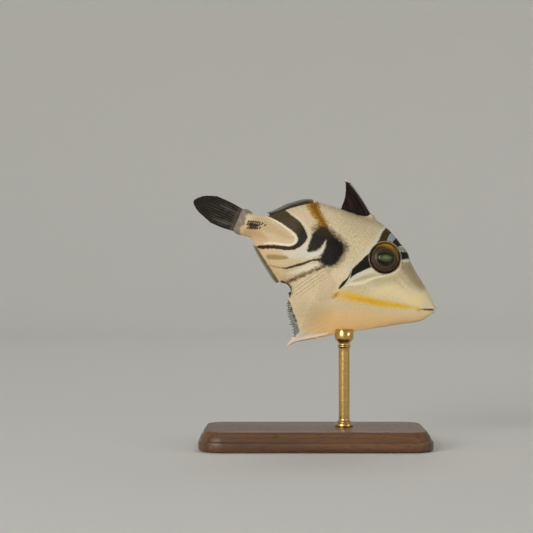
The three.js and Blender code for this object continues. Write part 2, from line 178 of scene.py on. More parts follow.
# A mesh object whose fields, numbers or vectors at its points, are there for its material.
def newObject(name, verts, faces, fields=None):
    mesh = bpy.data.meshes.new(name)
    mesh.from_pydata(np.asarray(verts).tolist(), [], [list(map(int, f)) for f in faces])
    mesh.polygons.foreach_set("use_smooth", [True] * len(mesh.polygons))
    for key, values in (fields or {}).items():
        kind, part = ("FLOAT", "value") if np.ndim(values) == 1 else ("FLOAT_VECTOR", "vector")
        layer = mesh.attributes.new(key, kind, "POINT")
        layer.data.foreach_set(part, np.asarray(values, np.float32).ravel())
    mesh.update()
    item = bpy.data.objects.new(name, mesh)
    bpy.context.scene.collection.objects.link(item)
    return item


# A piece of the fish, from points in the fish's own frame, with a field for each mark on it.
def fishPiece(name, points, faces, marks, **fields):
    s, h = -points[:, 0], points[:, 2]
    fields.update({each["name"]: markField(each, s, h) for each in marks})
    fields["fishPlace"] = np.stack([s, h, points[:, 1]], axis=1)
    return newObject(name, pitched(points) * mm + rowShift, faces, fields)


# A finished piece takes its material, rides on the root body and stands for CAD nodes, which it hides.
def settle(piece, material, slot, *nodes):
    piece.data.materials.append(material)
    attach(piece, "root")
    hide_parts(*nodes)


# Shapes

# Quads between neighbouring rings; a closed row also joins its last ring to its first.
def ringFaces(count, size, closed=False):
    i = np.arange(size)
    j = (i + 1) % size
    faces = []
    for r in range(count if closed else count - 1):
        a, b = r * size, (r + 1) % count * size
        faces += np.stack([a + i, a + j, b + j, b + i], axis=1).tolist()
    return faces


# Rings of equal size, closed by a hub at each end.
def loft(rings):
    rings = np.asarray(rings, float)
    count, size = rings.shape[:2]
    verts = np.concatenate([rings.reshape(-1, 3), rings[:1].mean(1), rings[-1:].mean(1)])
    first, start = count * size, (count - 1) * size
    pairs = [(i, (i + 1) % size) for i in range(size)]
    faces = ringFaces(count, size)
    faces += [[b, a, first] for a, b in pairs]
    faces += [[a + start, b + start, first + 1] for a, b in pairs]
    return verts, faces


# A round rod along a smooth line through points, its radius a function of the way along it.
def rod(points, radius, steps, sides):
    points = np.asarray(points, float)
    knots = np.linspace(0, 1, len(points))
    t = np.linspace(0, 1, steps + 1)
    line = np.stack([track(list(zip(knots, points[:, k])))(t) for k in range(3)], axis=1)
    way = unit(np.gradient(line, axis=0))
    side = unit(np.cross(way, np.array([0.03, 1.0, 0.02])))  # a little askew, never along the rod
    lift = np.cross(way, side)
    turn = circle(sides)[None, :, None]
    size = np.array([radius(k) for k in t])[:, None, None]
    return loft(line[:, None] + size * (side[:, None] * np.cos(turn) + lift[:, None] * np.sin(turn)))


# A tapered point that grows from root to tip.
def spike(root, tip, radius, taper, steps, sides, middle=0.5):
    bend = lerp(root, tip, middle)
    return rod([root, bend, tip], lambda t: radius * (1 - taper * t), steps, sides)


# An ellipsoid whose half axes lie along the body, across it and up.
def knob(centre, size, around=16):
    fall = np.linspace(0.02, math.pi - 0.02, around)[:, None, None]
    turn = circle(around * 2)[None, :, None]
    ball = np.concatenate([np.cos(fall) + 0 * turn, np.sin(fall) * np.cos(turn),
                           np.sin(fall) * np.sin(turn)], axis=2)
    return loft(np.asarray(centre) + ball * np.asarray(size))


def together(parts):
    verts, faces, start = [], [], 0
    for points, corners in parts:
        verts.append(points)
        faces += [[c + start for c in f] for f in corners]
        start += len(points)
    return np.concatenate(verts), faces


# One closed surface of small quads over closed parts that run into each other.
def voxelSkin(parts, voxel):
    verts, faces = together(parts)
    rough = newObject("rough", verts, faces)
    tool = rough.modifiers.new("voxels", "REMESH")
    tool.mode = "VOXEL"
    tool.voxel_size = voxel
    solid = rough.evaluated_get(bpy.context.evaluated_depsgraph_get()).to_mesh()
    points = np.empty(len(solid.vertices) * 3)
    solid.vertices.foreach_get("co", points)
    quads = np.empty(len(solid.loops), int)
    solid.loops.foreach_get("vertex_index", quads)
    bpy.data.objects.remove(rough)
    return points.reshape(-1, 3), quads.reshape(-1, 4)


def edgesOf(quads):
    pairs = np.concatenate([quads[:, [k, (k + 1) % 4]] for k in range(4)])
    return np.unique(np.sort(pairs, axis=1), axis=0)


# Evens out a surface: each pull inwards is followed by a slightly stronger one outwards.
def relax(points, edges, rounds, amount=0.5):
    count = np.bincount(edges.ravel(), minlength=len(points))[:, None]
    for step in range(rounds):
        total = np.stack([
            np.bincount(edges[:, 0], points[edges[:, 1], k], len(points))
            + np.bincount(edges[:, 1], points[edges[:, 0], k], len(points)) for k in range(3)
        ], axis=1)
        pull = amount if step % 2 == 0 else -amount * 1.03
        points = points + pull * (total / np.maximum(count, 1) - points)
    return points


def normalsOf(points, quads):
    across = np.cross(points[quads[:, 2]] - points[quads[:, 0]],
                      points[quads[:, 3]] - points[quads[:, 1]])
    total = np.stack([
        sum(np.bincount(quads[:, c], across[:, k], len(points)) for c in range(4))
        for k in range(3)
    ], axis=1)
    return unit(total)


# Places on the side view: smooth lines through points, and distances from them

def curveThrough(points, closed=False, steps=5):
    points = np.asarray(points, float)
    if closed:
        points = np.concatenate([points[-1:], points, points[:2]])
    else:
        points = np.concatenate([2 * points[:1] - points[1:2], points, 2 * points[-1:] - points[-2:-1]])
    out = []
    for a, b, c, d in zip(points, points[1:], points[2:], points[3:]):
        for t in np.arange(steps) / steps:
            out.append(0.5 * (2 * b + (c - a) * t + (2 * a - 5 * b + 4 * c - d) * t**2
                              + (3 * b - a - 3 * c + d) * t**3))
    if not closed:
        out.append(points[-2])
    return np.array(out)


# Distance from a line less its half width there, where the line's points are (s, h, half width).
def strokeDistance(line, s, h):
    best = np.full(s.shape, np.inf)
    for (s0, h0, w0), (s1, h1, w1) in zip(line[:-1], line[1:]):
        ds, dh = s1 - s0, h1 - h0
        t = np.clip(((s - s0) * ds + (h - h0) * dh) / max(ds * ds + dh * dh, 1e-9), 0, 1)
        best = np.minimum(best, np.hypot(s - s0 - t * ds, h - h0 - t * dh) - w0 - t * (w1 - w0))
    return best


def insideOf(line, s, h):
    inside = np.zeros(s.shape, bool)
    for (s0, h0), (s1, h1) in zip(line, np.roll(line, -1, axis=0)):
        if h0 == h1:
            continue
        crosses = (h0 > h) != (h1 > h)
        inside ^= crosses & (s < s0 + (s1 - s0) * (h - h0) / (h1 - h0))
    return inside


# One painted mark. Its edge fades over soft mm to both sides and wanders by wobble mm. Its shape
# is a patch, the outline of (s, h) points; strokes, lines of (s, h, half width); or rings round
# the eye, of (radius, half width). It may show only inside an earlier mark.
def mark(name, colour, soft, strength, wobble=0.1, inside=None, patch=None, strokes=(), rings=()):
    return dict(name=name, colour=colour, soft=soft, strength=strength, wobble=wobble,
                inside=inside, patch=patch, strokes=strokes, rings=rings)


# How far inside a mark each place is, in mm, held between -reach and reach.
def markField(drawn, s, h):
    reach = 1.2 * max(0.5, drawn["soft"] + drawn["wobble"])
    if drawn["patch"]:
        outline = curveThrough(drawn["patch"], closed=True)
        outline = np.concatenate([outline, outline[:1]])
        lines = [np.column_stack([outline, np.zeros(len(outline))])]
    else:
        lines = [curveThrough(p) if len(p) > 2 else np.array(p, float) for p in drawn["strokes"]]
    for radius, half in drawn["rings"]:
        turn = np.linspace(0, 2 * math.pi, 49)
        lines.append(np.column_stack([fish["eyeAt"][0] + radius * np.cos(turn),
                                      fish["eyeAt"][1] + radius * np.sin(turn), half + 0 * turn]))
    field = np.full(s.shape, -reach)
    for line in lines:
        margin = reach + line[:, 2].max()
        near = ((s > line[:, 0].min() - margin) & (s < line[:, 0].max() + margin)
                & (h > line[:, 1].min() - margin) & (h < line[:, 1].max() + margin))
        value = -strokeDistance(line, s[near], h[near])
        if drawn["patch"]:
            value = np.where(insideOf(line[:-1, :2], s[near], h[near]), -value, value)
        field[near] = np.maximum(field[near], value)
    return np.clip(field, -reach, reach)


# Flesh: closed parts that the skin goes over

flesh = dict(
    voxel=0.085,  # the skin's quads
    smoothing=6,
    shoulder=((19.1, 11.15), (1.1, 0.75, 0.9)),  # the hump that carries the first dorsal spine
    tailEnd=[(42.9, 1), (43.02, 0.93), (43.12, 0.78), (43.18, 0.45)],  # (s, share of its size)
)
mouth = dict(front=(-0.45, -0.1), corner=(2.5, -1.4), half=0.98, lips=(0.4, -0.45), lipRadius=0.42)
keel = dict(
    line=[(17.3, -13.3), (20, -15.15), (22.5, -16.9), (23.3, -17.9), (23.72, -18.9)],
    radii=(0.5, 0.14),
    platesFrom=(19.2, -14.9), platesTo=(23.4, -17.95), plates=11,
    plateHalf=0.27, pointRadius=0.17,
)
ridge = dict(span=(24.9, 30.2), pitch=0.29, height=0.27, radius=0.2)
fringe = dict(
    edge=track([(-17.2, 23.3), (-16, 23.4), (-14.4, 24.85), (-12.5, 26.3), (-9.6, 27.4),
                (-8.3, 27.7)]),
    levels=(-16.9, -8.9), count=21, length=0.42, radius=0.3,
)
thorns = dict(
    rows=[
        [(41.0, 0.6), (40.55, 0.78), (40.1, 0.93), (39.67, 1.07), (39.24, 1.17), (38.83, 1.25)],
        [(40.93, -0.05), (40.5, 0.12), (40.07, 0.3), (39.63, 0.47), (39.2, 0.63), (38.75, 0.79),
         (38.3, 1.3), (37.66, 1.28)],
        [(40.6, -0.64), (40.16, -0.51), (39.71, -0.36), (39.26, -0.18), (38.84, 0.06),
         (38.4, 0.32)],
    ],
    radius=0.1,
)


def bodyShell():
    tailS, tailShare = np.array(flesh["tailEnd"]).T
    # fine steps at the lips, and where the flap's edge drops steeply
    stations = np.concatenate([
        np.linspace(fish["ends"][0], 2, 24)[:-1], np.arange(2, 22.6, 0.3),
        np.arange(22.6, 28.4, 0.07), np.arange(28.4, 42.8, 0.3), tailS,
    ])
    turn = circle(112)
    rings = []
    for s, share in zip(stations, np.interp(stations, tailS, tailShare)):
        mid, h = body["widest"](s), sectionHeight(s, np.sin(turn))
        y = np.sign(np.cos(turn)) * flank(s, h)
        y[np.abs(np.cos(turn)) < 1e-9] = 0
        rings.append(at(s, mid + (h - mid) * share**0.25, y * share))
    return loft(rings)


def lip(rise):
    line = []
    for turn in np.linspace(-math.pi / 2, math.pi / 2, 13):
        t = 0.82 * (1 - math.cos(turn)) + 0.18
        s, h = lerp(np.array(mouth["front"]), np.array(mouth["corner"]), t)
        line.append(at(s, h + rise, mouth["half"] * math.sin(turn)))
    return rod(line, lambda t: mouth["lipRadius"] * (0.5 + 0.5 * math.sin(math.pi * t)), 40, 18)


# Plates along both sides of the keel, and points along its underside
def keelParts():
    thick, thin = keel["radii"]
    parts = [rod([at(s, h) for s, h in keel["line"]], lambda t: lerp(thick, thin, t**5), 50, 18)]
    (s0, h0), (s1, h1) = keel["platesFrom"], keel["platesTo"]
    for t in np.linspace(0, 1, keel["plates"]):
        s, h = lerp(s0, s1, t), lerp(h0, h1, t**1.1)
        for side in (-1, 1):
            size = (keel["plateHalf"], 0.2 - 0.05 * t, 0.2)
            parts.append(knob(at(s, h, side * (0.42 - 0.12 * t)), size, 8))
        root, tip = at(s - 0.05, h - 0.28), at(s + 0.22, h - 0.58 + 0.16 * t)
        parts.append(spike(root, tip, keel["pointRadius"], 0.75, 5, 8))
    return parts


# A ragged row of low points along the back between the two dorsal fins
def ridgeParts():
    parts = []
    for i, s in enumerate(np.arange(*ridge["span"], ridge["pitch"])):
        y, top = 0.24 * math.sin(2.6 * i), float(body["back"](s))
        root = at(s, top - 0.3, y)
        tip = at(s + 0.34, top + ridge["height"] + 0.09 * math.sin(4.1 * i), y * 1.3)
        parts.append(spike(root, tip, ridge["radius"], 0.7, 6, 9))
    return parts


# Short spines that hang off the flap's rear edge
def fringeParts():
    parts = []
    for i, h in enumerate(np.linspace(*fringe["levels"], fringe["count"])):
        s = float(fringe["edge"](h))
        length = fringe["length"] + 0.14 * math.sin(2.3 * i) + 0.05 * math.sin(5.1 * i)
        y = 0.12 * math.sin(3.7 * i)
        root = at(s - 0.45, h + 0.12, y * 0.5)
        tip = at(s + length * 0.8, h - length * 0.75, y)
        parts.append(spike(root, tip, fringe["radius"], 0.72, 8, 10, 0.55))
    return parts


# The rows of small thorns on the tail base, bent forwards
def tailThorns():
    parts = []
    for side in (-1, 1):
        for s, h in sum(thorns["rows"], []):
            y = side * float(flank(s, h))
            root = at(s + 0.12, h - 0.05, y - side * 0.14)
            tip = at(s - 0.16, h + 0.1, y + side * 0.2)
            bend = lerp(root, tip, 0.5) + np.array([0.0, side * 0.05, 0])
            parts.append(rod([root, bend, tip], lambda k: thorns["radius"] * (1 - 0.9 * k**1.4), 7, 10))
    return parts


# Skin relief

relief = dict(
    scalePitch=0.62,  # the body carries about 45 rows of plates, as in the species
    scaleWays=(math.radians(31), math.radians(-49)),  # the plates' two diagonal rows
    scaleDepth=0.022,
    mouthSlit=(0.42, 0.2),  # depth and half width of each cut
    gillSlit=(0.34, 0.2),
    gillLine=[(18.2, -0.75), (18.35, -1.8), (18.65, -2.9), (19.05, -4.15)],
    nostrils=[(9.7, 5.5, 0.26), (9.2, 4.85, 0.22)],
    nostrilDepth=0.26,
    flapFolds=0.03, foldsFrom=(14.0, -6.0),  # the flap's ray-like folds fan out from there
    backNotch=0.09, notchPitch=0.58,
)
socket = dict(
    reach=3.9,  # the skin that moves with the eye
    roll=(3.36, 0.24, 0.3),  # radius, thickness and level of the lid's roll
    lidRadius=3.32, lidHeight=0.1, lidHalf=0.13,
    tuck=(3.14, 2.96),  # where the skin turns in under the ball
    under=0.45,
)


# How far round the body's section a place is from its widest line, up positive, in mm.
def girthOf(s, h):
    along, around = 240, 161  # the table's stations and places round each
    stations = np.linspace(*fish["ends"], along)
    level = sectionHeight(stations[:, None], np.sin(np.linspace(-math.pi / 2, math.pi / 2, around)))
    width = flank(stations[:, None], level)
    step = np.hypot(np.diff(level, axis=1), np.diff(width, axis=1))
    table = np.concatenate([np.zeros((along, 1)), np.cumsum(step, axis=1)], axis=1)
    table -= table[:, around // 2, None]
    mid, top, low = body["widest"](s), body["back"](s), body["belly"](s)
    share = np.clip(np.where(h > mid, (h - mid) / (top - mid), (h - mid) / (mid - low)), -1, 1)
    first, last = fish["ends"]
    i = np.clip((s - first) / (last - first) * (along - 1), 0, along - 1.001)
    j = np.clip((np.arcsin(share) / math.pi + 0.5) * (around - 1), 0, around - 1.001)
    i0, j0 = i.astype(int), j.astype(int)
    near = lerp(table[i0, j0], table[i0, j0 + 1], j - j0)
    return lerp(near, lerp(table[i0 + 1, j0], table[i0 + 1, j0 + 1], j - j0), i - i0)


# The plates' rows wander, so that no row runs straight for long.
def wander(s, girth):
    a = 0.16 * np.sin(1.9 * s + 1.3 * girth) + 0.1 * np.sin(4.7 * girth - 3.1 * s + 1)
    b = 0.16 * np.sin(1.6 * girth - 1.1 * s + 2) + 0.1 * np.sin(5.3 * s + 3.7 * girth)
    return s + a + 0.05 * np.sin(9.1 * girth + 4.3 * s), girth + b + 0.05 * np.sin(8.3 * s)


def plateHeight(s, girth):
    rise = 1.0
    for way in relief["scaleWays"]:
        across = (s * math.cos(way) + girth * math.sin(way)) / relief["scalePitch"]
        rise = np.minimum(rise, 1 - np.abs(2 * (across % 1) - 1))
    return smoothStep(0, 0.55, rise)


# A roll of skin round the eye's socket
def eyeRoll(side):
    middle, ahead, up, out = eyeAxes(side)
    radius, thick, level = socket["roll"]
    turn = circle(72)[:, None]
    small = circle(12)[None, :, None]
    away = (ahead * np.cos(turn) + up * np.sin(turn))[:, None]
    rings = middle + out * level + away * (radius + thick * np.cos(small)) + out * thick * np.sin(small)
    return rings.reshape(-1, 3), ringFaces(*rings.shape[:2], closed=True)


# Seats an eye: the skin rolls over a rim and tucks in under the ball.
def seatEye(points, side):
    middle, *_, out = eyeAxes(side)
    offset = points - middle
    level = offset @ out
    around = np.linalg.norm(offset - level[:, None] * out, axis=1)
    near = (around < socket["reach"]) & (level > -2.5) & (points[:, 1] * side > 0)
    ball = fish["eyeBulge"] * np.sqrt(groove(around, fish["eyeRadius"]))
    tuck = smoothStep(*socket["tuck"], around)
    lowered = lerp(level, np.minimum(level, ball - socket["under"]), tuck)
    roll = socket["lidHeight"] * bead(around - socket["lidRadius"], socket["lidHalf"])
    return points + np.where(near, lowered + roll - level, 0)[:, None] * out


def carve(points, quads):
    normal = normalsOf(points, quads)
    s, h, y = -points[:, 0], points[:, 2], points[:, 1]
    bare = smoothStep(3.6, 4.4, fromEye(s, h)) * smoothStep(1.5, 5, s) * smoothStep(43, 41, s)
    depth = relief["scaleDepth"] * (1 - plateHeight(*wander(s, girthOf(s, h)))) * bare
    slit = np.array([(-0.7, 0.0, 0), (*mouth["front"], 0), (*mouth["corner"], 0)])
    cut, half = relief["mouthSlit"]
    depth += cut * groove(strokeDistance(slit, s, h), half, 1.5) * smoothStep(2.7, 2.0, s)
    cut, half = relief["gillSlit"]
    gap = strokeDistance(curveThrough([(*p, 0) for p in relief["gillLine"]]), s, h)
    depth += cut * groove(gap, half, 1.4)
    depth -= 0.07 * bead(gap - 0.34, 0.14) * (s < 18.9)
    for ps, ph, size in relief["nostrils"]:
        off = np.hypot(s - ps, h - ph)
        depth += relief["nostrilDepth"] * groove(off, size)
        depth -= 0.05 * bead(off - size - 0.07, 0.08)
    folds = smoothStep(-9, -12, h) * smoothStep(17.5, 20, s) * smoothStep(-17, -16, h)
    fan = np.arctan2(h - relief["foldsFrom"][1], s - relief["foldsFrom"][0])
    depth += relief["flapFolds"] * folds * (0.5 + 0.5 * np.cos(fan * 62))
    notched = smoothStep(0.55, 0.1, body["back"](s) - h) * smoothStep(20.3, 21.5, s)
    notched *= smoothStep(30.2, 29, s) * (np.abs(y) < 0.9)
    depth += relief["backNotch"] * notched * (0.5 + 0.5 * np.cos(2 * math.pi * s / relief["notchPitch"]))
    return points - normal * depth[:, None]


# Skin markings, drawn on the side view in (s, h); each is laid over the ones before it

markings = [
    mark("bellyWarmth", "#f3c98b", 2.2, 0.95,
         patch=[(0.5, -2.2), (7, -4.6), (13, -6.2), (18, -8.2), (21.5, -10.8), (21.5, -15),
                (18, -15.5), (10, -11), (3, -6)]),
    mark("cheekLight", "#f6e2b0", 2.0, 0.7,
         patch=[(12.5, 0.6), (9, 1.6), (5.5, 0.6), (3.4, -0.4), (6, -1.5), (9.5, -2.4), (12.8, -2.8)]),
    mark("gillLight", "#f2dfba", 1.8, 0.6,
         patch=[(19.6, 0.5), (21, -1.6), (22.6, -3), (23.4, -5.2), (21.5, -6), (19.8, -3.6),
                (18.8, -1.4)]),
    mark("flapTan", "#bfa67a", 2.2, 0.5,
         patch=[(19.5, -8.8), (22.5, -8.4), (25, -9.8), (25.2, -12), (23.5, -13.4), (20.5, -13),
                (19, -11)]),
    mark("flapPink", "#dcc3a4", 0.5, 0.5,
         strokes=[[(27, -9.6, 0.3), (26.2, -11, 0.4), (24.8, -12.5, 0.4), (23.2, -13.8, 0.3)]]),
    mark("rearWarmth", "#dcb889", 1.8, 0.5,
         patch=[(42, 0.5), (38, 0.2), (33, 0.6), (31, -2.4), (28.5, -5.5), (30, -9), (37, -4.6),
                (42, -3.4)]),
    mark("gillWarmth", "#e2cba8", 2.0, 0.5,
         patch=[(19.5, -2), (24, -3.5), (26.4, -7), (26, -9), (21, -8), (19.4, -5)]),
    mark("snoutShade", "#8d7c58", 1.0, 0.75,
         patch=[(10.2, 4.8), (9.4, 6.1), (8.2, 6.6), (5.6, 4.8), (3.4, 3.2), (3.9, 2.2), (5.8, 2.3),
                (7.6, 3.2)]),
    mark("snoutStreaks", "#a8986c", 0.4, 0.45,
         strokes=[[(9.6, 3.6, 0.1), (8.2, 2.7, 0.22), (6.2, 1.8, 0.1)],
                  [(10.4, 2.3, 0.08), (9.2, 1.7, 0.15), (7.6, 1.2, 0.06)]]),
    mark("cheekOlive", "#b2ae86", 0.9, 0.6,
         patch=[(14, 0.5), (13, 1.4), (11, 2.3), (10, 3.2), (9, 2.8), (9.6, 1.4), (11.6, 0),
                (13.2, -0.7)]),
    mark("ridgeShade", "#8d7d67", 1.1, 0.62,
         strokes=[[(15.9, 11, 0.3), (18, 10.9, 0.6), (20, 10.7, 0.8), (22.5, 10.5, 0.7),
                   (25, 10.3, 0.5), (28, 9.95, 0.3), (30, 9.6, 0.2)]]),
    mark("shoulderShade", "#a8987a", 2.2, 0.4,
         patch=[(16.8, 9.6), (19, 10.4), (23.4, 9.8), (23, 8), (20, 7.4), (17.4, 7.6)]),
    mark("pinkRear", "#dec2a0", 1.0, 0.6,
         patch=[(30.8, 7.2), (33.4, 6.6), (35.0, 5.9), (33, 5.5), (30.6, 4.9), (29.4, 5.6)]),
    mark("whiteRear", "#dfd8c6", 0.5, 0.85,
         patch=[(28.6, 1.3), (29.6, 0.1), (30.5, -0.9), (31.6, -1.6), (32.6, -2.2), (30.8, -2.7),
                (29.2, -2.3), (27.9, -1.5), (26.6, -0.7), (26.5, 0.2), (27.8, -0.3)]),
    mark("whiteMid", "#e6dcc6", 0.4, 0.8,
         strokes=[[(24.7, -1.5, 0.3), (25.9, -2.5, 0.45), (27.3, -3.7, 0.5), (28.6, -4.9, 0.4),
                   (29.8, -5.8, 0.15)]]),
    mark("uInside", "#c9ab7f", 0.6, 0.8,
         patch=[(40, 1.9), (37.6, 2.3), (34.4, 1.9), (31.8, 1.1), (32.6, 0.5), (35.6, 0.4),
                (38.2, 0.2), (40, 0.9)]),
    mark("uPink", "#dcc2a0", 0.6, 0.6,
         patch=[(39, -0.6), (36, -0.4), (32.6, -0.1), (31.7, 0.2), (33.6, -0.9), (36.8, -1.8),
                (39, -1.6)]),
    mark("uOrange", "#bf9468", 1.0, 0.7,
         patch=[(41.2, -0.8), (38.6, 0), (36.2, -1.2), (38.4, -1.9), (41, -2.4)]),
    mark("uCream", "#f0e6d0", 0.14, 0.95,
         strokes=[[(38.6, 3.0, 0.08), (37, 2.95, 0.12), (35, 2.72, 0.15), (33, 2.3, 0.16),
                   (31.6, 1.85, 0.17), (30.95, 1.3, 0.2), (30.85, 0.6, 0.22), (31.1, 0.05, 0.22),
                   (32, -0.55, 0.24), (33.5, -1.0, 0.22), (35, -1.45, 0.18), (36.4, -2.2, 0.1)]]),
    mark("tanPatch", "#a48c59", 0.24, 0.95,
         patch=[(34.9, -4.05), (33.95, -3.5), (32.65, -3.05), (31.3, -2.65), (30.8, -2.95),
                (32.1, -3.78), (33.6, -4.42), (34.6, -4.6)]),
    mark("tanLow", "#cfae7e", 0.5, 0.5,
         strokes=[[(34.6, -4.9, 0.12), (32.6, -6.2, 0.3), (31, -6.9, 0.35), (29.6, -6.9, 0.3)]]),
    mark("keelPink", "#e3d1c2", 0.3, 0.9, wobble=0.25,
         strokes=[[(17.6, -13.6, 0.1), (19.4, -14.6, 0.35), (20.8, -15.3, 0.6), (22.1, -16.1, 0.78),
                   (22.9, -17, 0.75), (23.4, -17.9, 0.6), (23.9, -19.2, 0.5)]]),
    mark("keelEdge", "#ead4b4", 0.3, 0.5,
         strokes=[[(3, -5, 0.1), (9, -8.7, 0.14), (16, -13.2, 0.18), (19, -15.1, 0.2)]]),
    mark("yellowSpread", "#efc05a", 0.8, 0.92, wobble=0.3,
         strokes=[[(19.4, -5.8, 0.45), (18.2, -5.25, 0.85), (16.9, -4.85, 1.0), (15.4, -4.5, 0.95),
                   (13.8, -4.15, 0.8), (12, -3.8, 0.7), (10, -3.35, 0.6), (8, -2.75, 0.5),
                   (6, -2.15, 0.35)]]),
    mark("lipYellow", "#f0dd9a", 0.8, 0.6,
         patch=[(5.2, 0.6), (3.8, 1.1), (2.9, 0.2), (3.2, -1.0), (5, -1.3)]),
    mark("yellowStripe", "#e8c64c", 0.45, 0.85, wobble=0.25,
         strokes=[[(16, -4.7, 0.3), (14, -4.3, 0.5), (12, -3.95, 0.5), (10, -3.45, 0.5),
                   (8, -2.8, 0.48), (6, -2.2, 0.45), (4.5, -1.75, 0.4), (3.2, -1.45, 0.26)]]),
    mark("yellowCore", "#e8b023", 0.4, 0.8, wobble=0.25,
         strokes=[[(17.2, -4.95, 0.1), (15, -4.6, 0.36), (13, -4.1, 0.4), (11, -3.7, 0.36),
                   (9, -3.15, 0.26), (7, -2.5, 0.16), (5, -1.9, 0.08)]]),
    mark("ochreSmudge", "#93681f", 0.4, 0.75,
         strokes=[[(19.0, -5.1, 0.1), (19.25, -5.75, 0.3), (19.5, -6.4, 0.12)]]),
    mark("whiteBehindBand", "#d1cbb8", 0.14, 0.95,
         strokes=[[(15.5, 11.2, 0.16), (15.98, 10.1, 0.2), (16.25, 9.2, 0.24), (16.38, 8.2, 0.26),
                   (16.38, 7.2, 0.26), (16.66, 5.7, 0.27), (17.2, 4.2, 0.28), (17.85, 2.9, 0.28),
                   (18.5, 1.4, 0.28), (18.75, 0.2, 0.25), (18.6, -0.9, 0.15)]]),
    mark("whiteUnderBand", "#dad6c6", 0.14, 0.94,
         strokes=[[(13.6, 1.98, 0.14), (14.4, 1.8, 0.32), (15.1, 1.35, 0.42), (15.8, 0.7, 0.46),
                   (16.6, -0.15, 0.46), (17.3, -0.95, 0.42), (17.85, -1.85, 0.34),
                   (18.3, -2.8, 0.16)]]),
    mark("oliveUnderBand", "#b9b083", 0.25, 0.7,
         strokes=[[(13.7, 1.3, 0.12), (14.6, 0.7, 0.26), (15.5, -0.1, 0.26), (16.4, -0.95, 0.22),
                   (17.2, -1.75, 0.1)]]),
    mark("creamDiagonal", "#efe7c9", 0.16, 0.9,
         strokes=[[(18.3, -3.3, 0.1), (17.4, -2.55, 0.26), (16.4, -1.95, 0.32), (15.6, -1.4, 0.32),
                   (14.9, -0.85, 0.28), (14.18, 0.05, 0.22), (13.27, 0.82, 0.18),
                   (12.32, 1.5, 0.14), (11.24, 2.3, 0.13), (10.4, 3.25, 0.12), (9.95, 4.2, 0.12),
                   (9.9, 5.1, 0.1), (10.0, 5.7, 0.06)]]),
    mark("eyeBand", "#16130d", 0.1, 1.0, wobble=0.1,
         patch=[(15.0, 11.6), (15.4, 10.6), (15.68, 9.8), (15.82, 8.9), (15.8, 8.1), (15.95, 7.2),
                (16.08, 6.4), (16.35, 5.5), (16.65, 4.6), (17.05, 3.6), (17.55, 2.4), (18.05, 1.1),
                (18.38, 0.3), (18.3, -0.4), (18.08, -1.05), (17.95, -1.45), (17.75, -1.0),
                (17.4, -0.4), (17.0, 0.12), (16.5, 0.66), (16.0, 1.25), (15.45, 1.85), (15, 2.15),
                (14.3, 2.4), (13.4, 3.6), (13.4, 6.4), (14.15, 8.0), (14.3, 8.5), (14.3, 9.6),
                (14.0, 10.2), (13.7, 11.2)]),
    mark("eyeBandOlive", "#41371c", 1.0, 0.85, inside="eyeBand", wobble=0.5,
         patch=[(17, 12), (17, 6.9), (13, 6.9), (13, 12)]),
    # Painted shade: a dark dash along the carved gill slit, in its opening
    mark("gillSlitShade", "#22170f", 0.09, 0.95,
         strokes=[[(18.3, -1.5, 0.08), (18.46, -1.95, 0.18), (18.7, -2.65, 0.3),
                   (18.93, -3.4, 0.3), (19.08, -4.15, 0.16)]]),
    mark("gillBits", "#4c3322", 0.1, 0.75, wobble=0.25,
         strokes=[[(18.5, -0.3, 0.06), (18.36, -1.0, 0.1), (18.4, -1.7, 0.1)]]),
    mark("blueOne", "#98a2a8", 0.12, 1.0, wobble=0.18,
         patch=[(13.6, 11), (13.85, 10.1), (14.22, 9.6), (14.25, 8.5), (13.83, 8.0), (13.15, 8.6),
                (12.95, 9.5), (12.6, 10.4)]),
    mark("darkTwo", "#1d1c16", 0.12, 1.0, wobble=0.18,
         patch=[(12.7, 10.1), (12.95, 9.3), (13.2, 8.5), (12.8, 7.9), (12.3, 7.7), (11.85, 8.02),
                (11.35, 8.45), (10.9, 8.75), (10.9, 9.4), (12.0, 10.0)]),
    mark("blueEdge", "#8a9396", 0.16, 0.7, wobble=0.3,
         strokes=[[(13.2, 10.1, 0.2), (12.5, 9.75, 0.14), (11.8, 9.25, 0.12), (11.0, 8.9, 0.1)]]),
    mark("blueTwo", "#929c9c", 0.12, 1.0, wobble=0.18,
         patch=[(12.0, 7.85), (11.3, 8.35), (10.6, 8.55), (10.0, 8.75), (9.5, 8.3), (9.9, 7.98),
                (10.54, 7.66), (11.27, 7.62)]),
    mark("darkThree", "#1f1b13", 0.12, 1.0, wobble=0.18,
         patch=[(11.3, 7.45), (10.54, 7.6), (9.9, 7.9), (9.4, 8.0), (9.0, 7.9), (8.6, 7.4),
                (8.9, 6.85), (9.4, 6.5), (10.08, 6.1), (10.9, 6.0), (11.2, 6.8)]),
    mark("darkThreeEdge", "#767067", 0.3, 0.6, wobble=0.3,
         strokes=[[(9.5, 8.1, 0.1), (9.0, 7.5, 0.16), (8.6, 7.05, 0.12)]]),
    mark("whiteThree", "#c9ccbd", 0.14, 0.95,
         strokes=[[(10.1, 5.6, 0.1), (9.75, 5.95, 0.2), (9.3, 6.2, 0.24), (8.8, 6.42, 0.22),
                   (8.2, 6.75, 0.16)]]),
    mark("eyelid", "#4b3e31", 0.07, 1.0, rings=[(3.06, 0.13)]),
    mark("eyelidGold", "#775a1e", 0.14, 0.95,
         strokes=[[(15.8, 7.1, 0.08), (14.7, 7.9, 0.22), (13.3, 8.2, 0.28), (11.9, 7.85, 0.24),
                   (11.0, 7.0, 0.1)]]),
    mark("eyelidLine", "#9c8a7a", 0.08, 0.85, rings=[(3.24, 0.09)]),
    mark("ochreSpread", "#b08226", 0.4, 0.88, wobble=0.45,
         patch=[(32.4, 9.6), (31.9, 8.3), (30.9, 7.4), (29.9, 6.8), (28.9, 6.25), (27.5, 5.3),
                (26.2, 6.3), (26.9, 7.0), (27.8, 7.75), (28.6, 8.4), (29.4, 9.1), (30.1, 10.4)]),
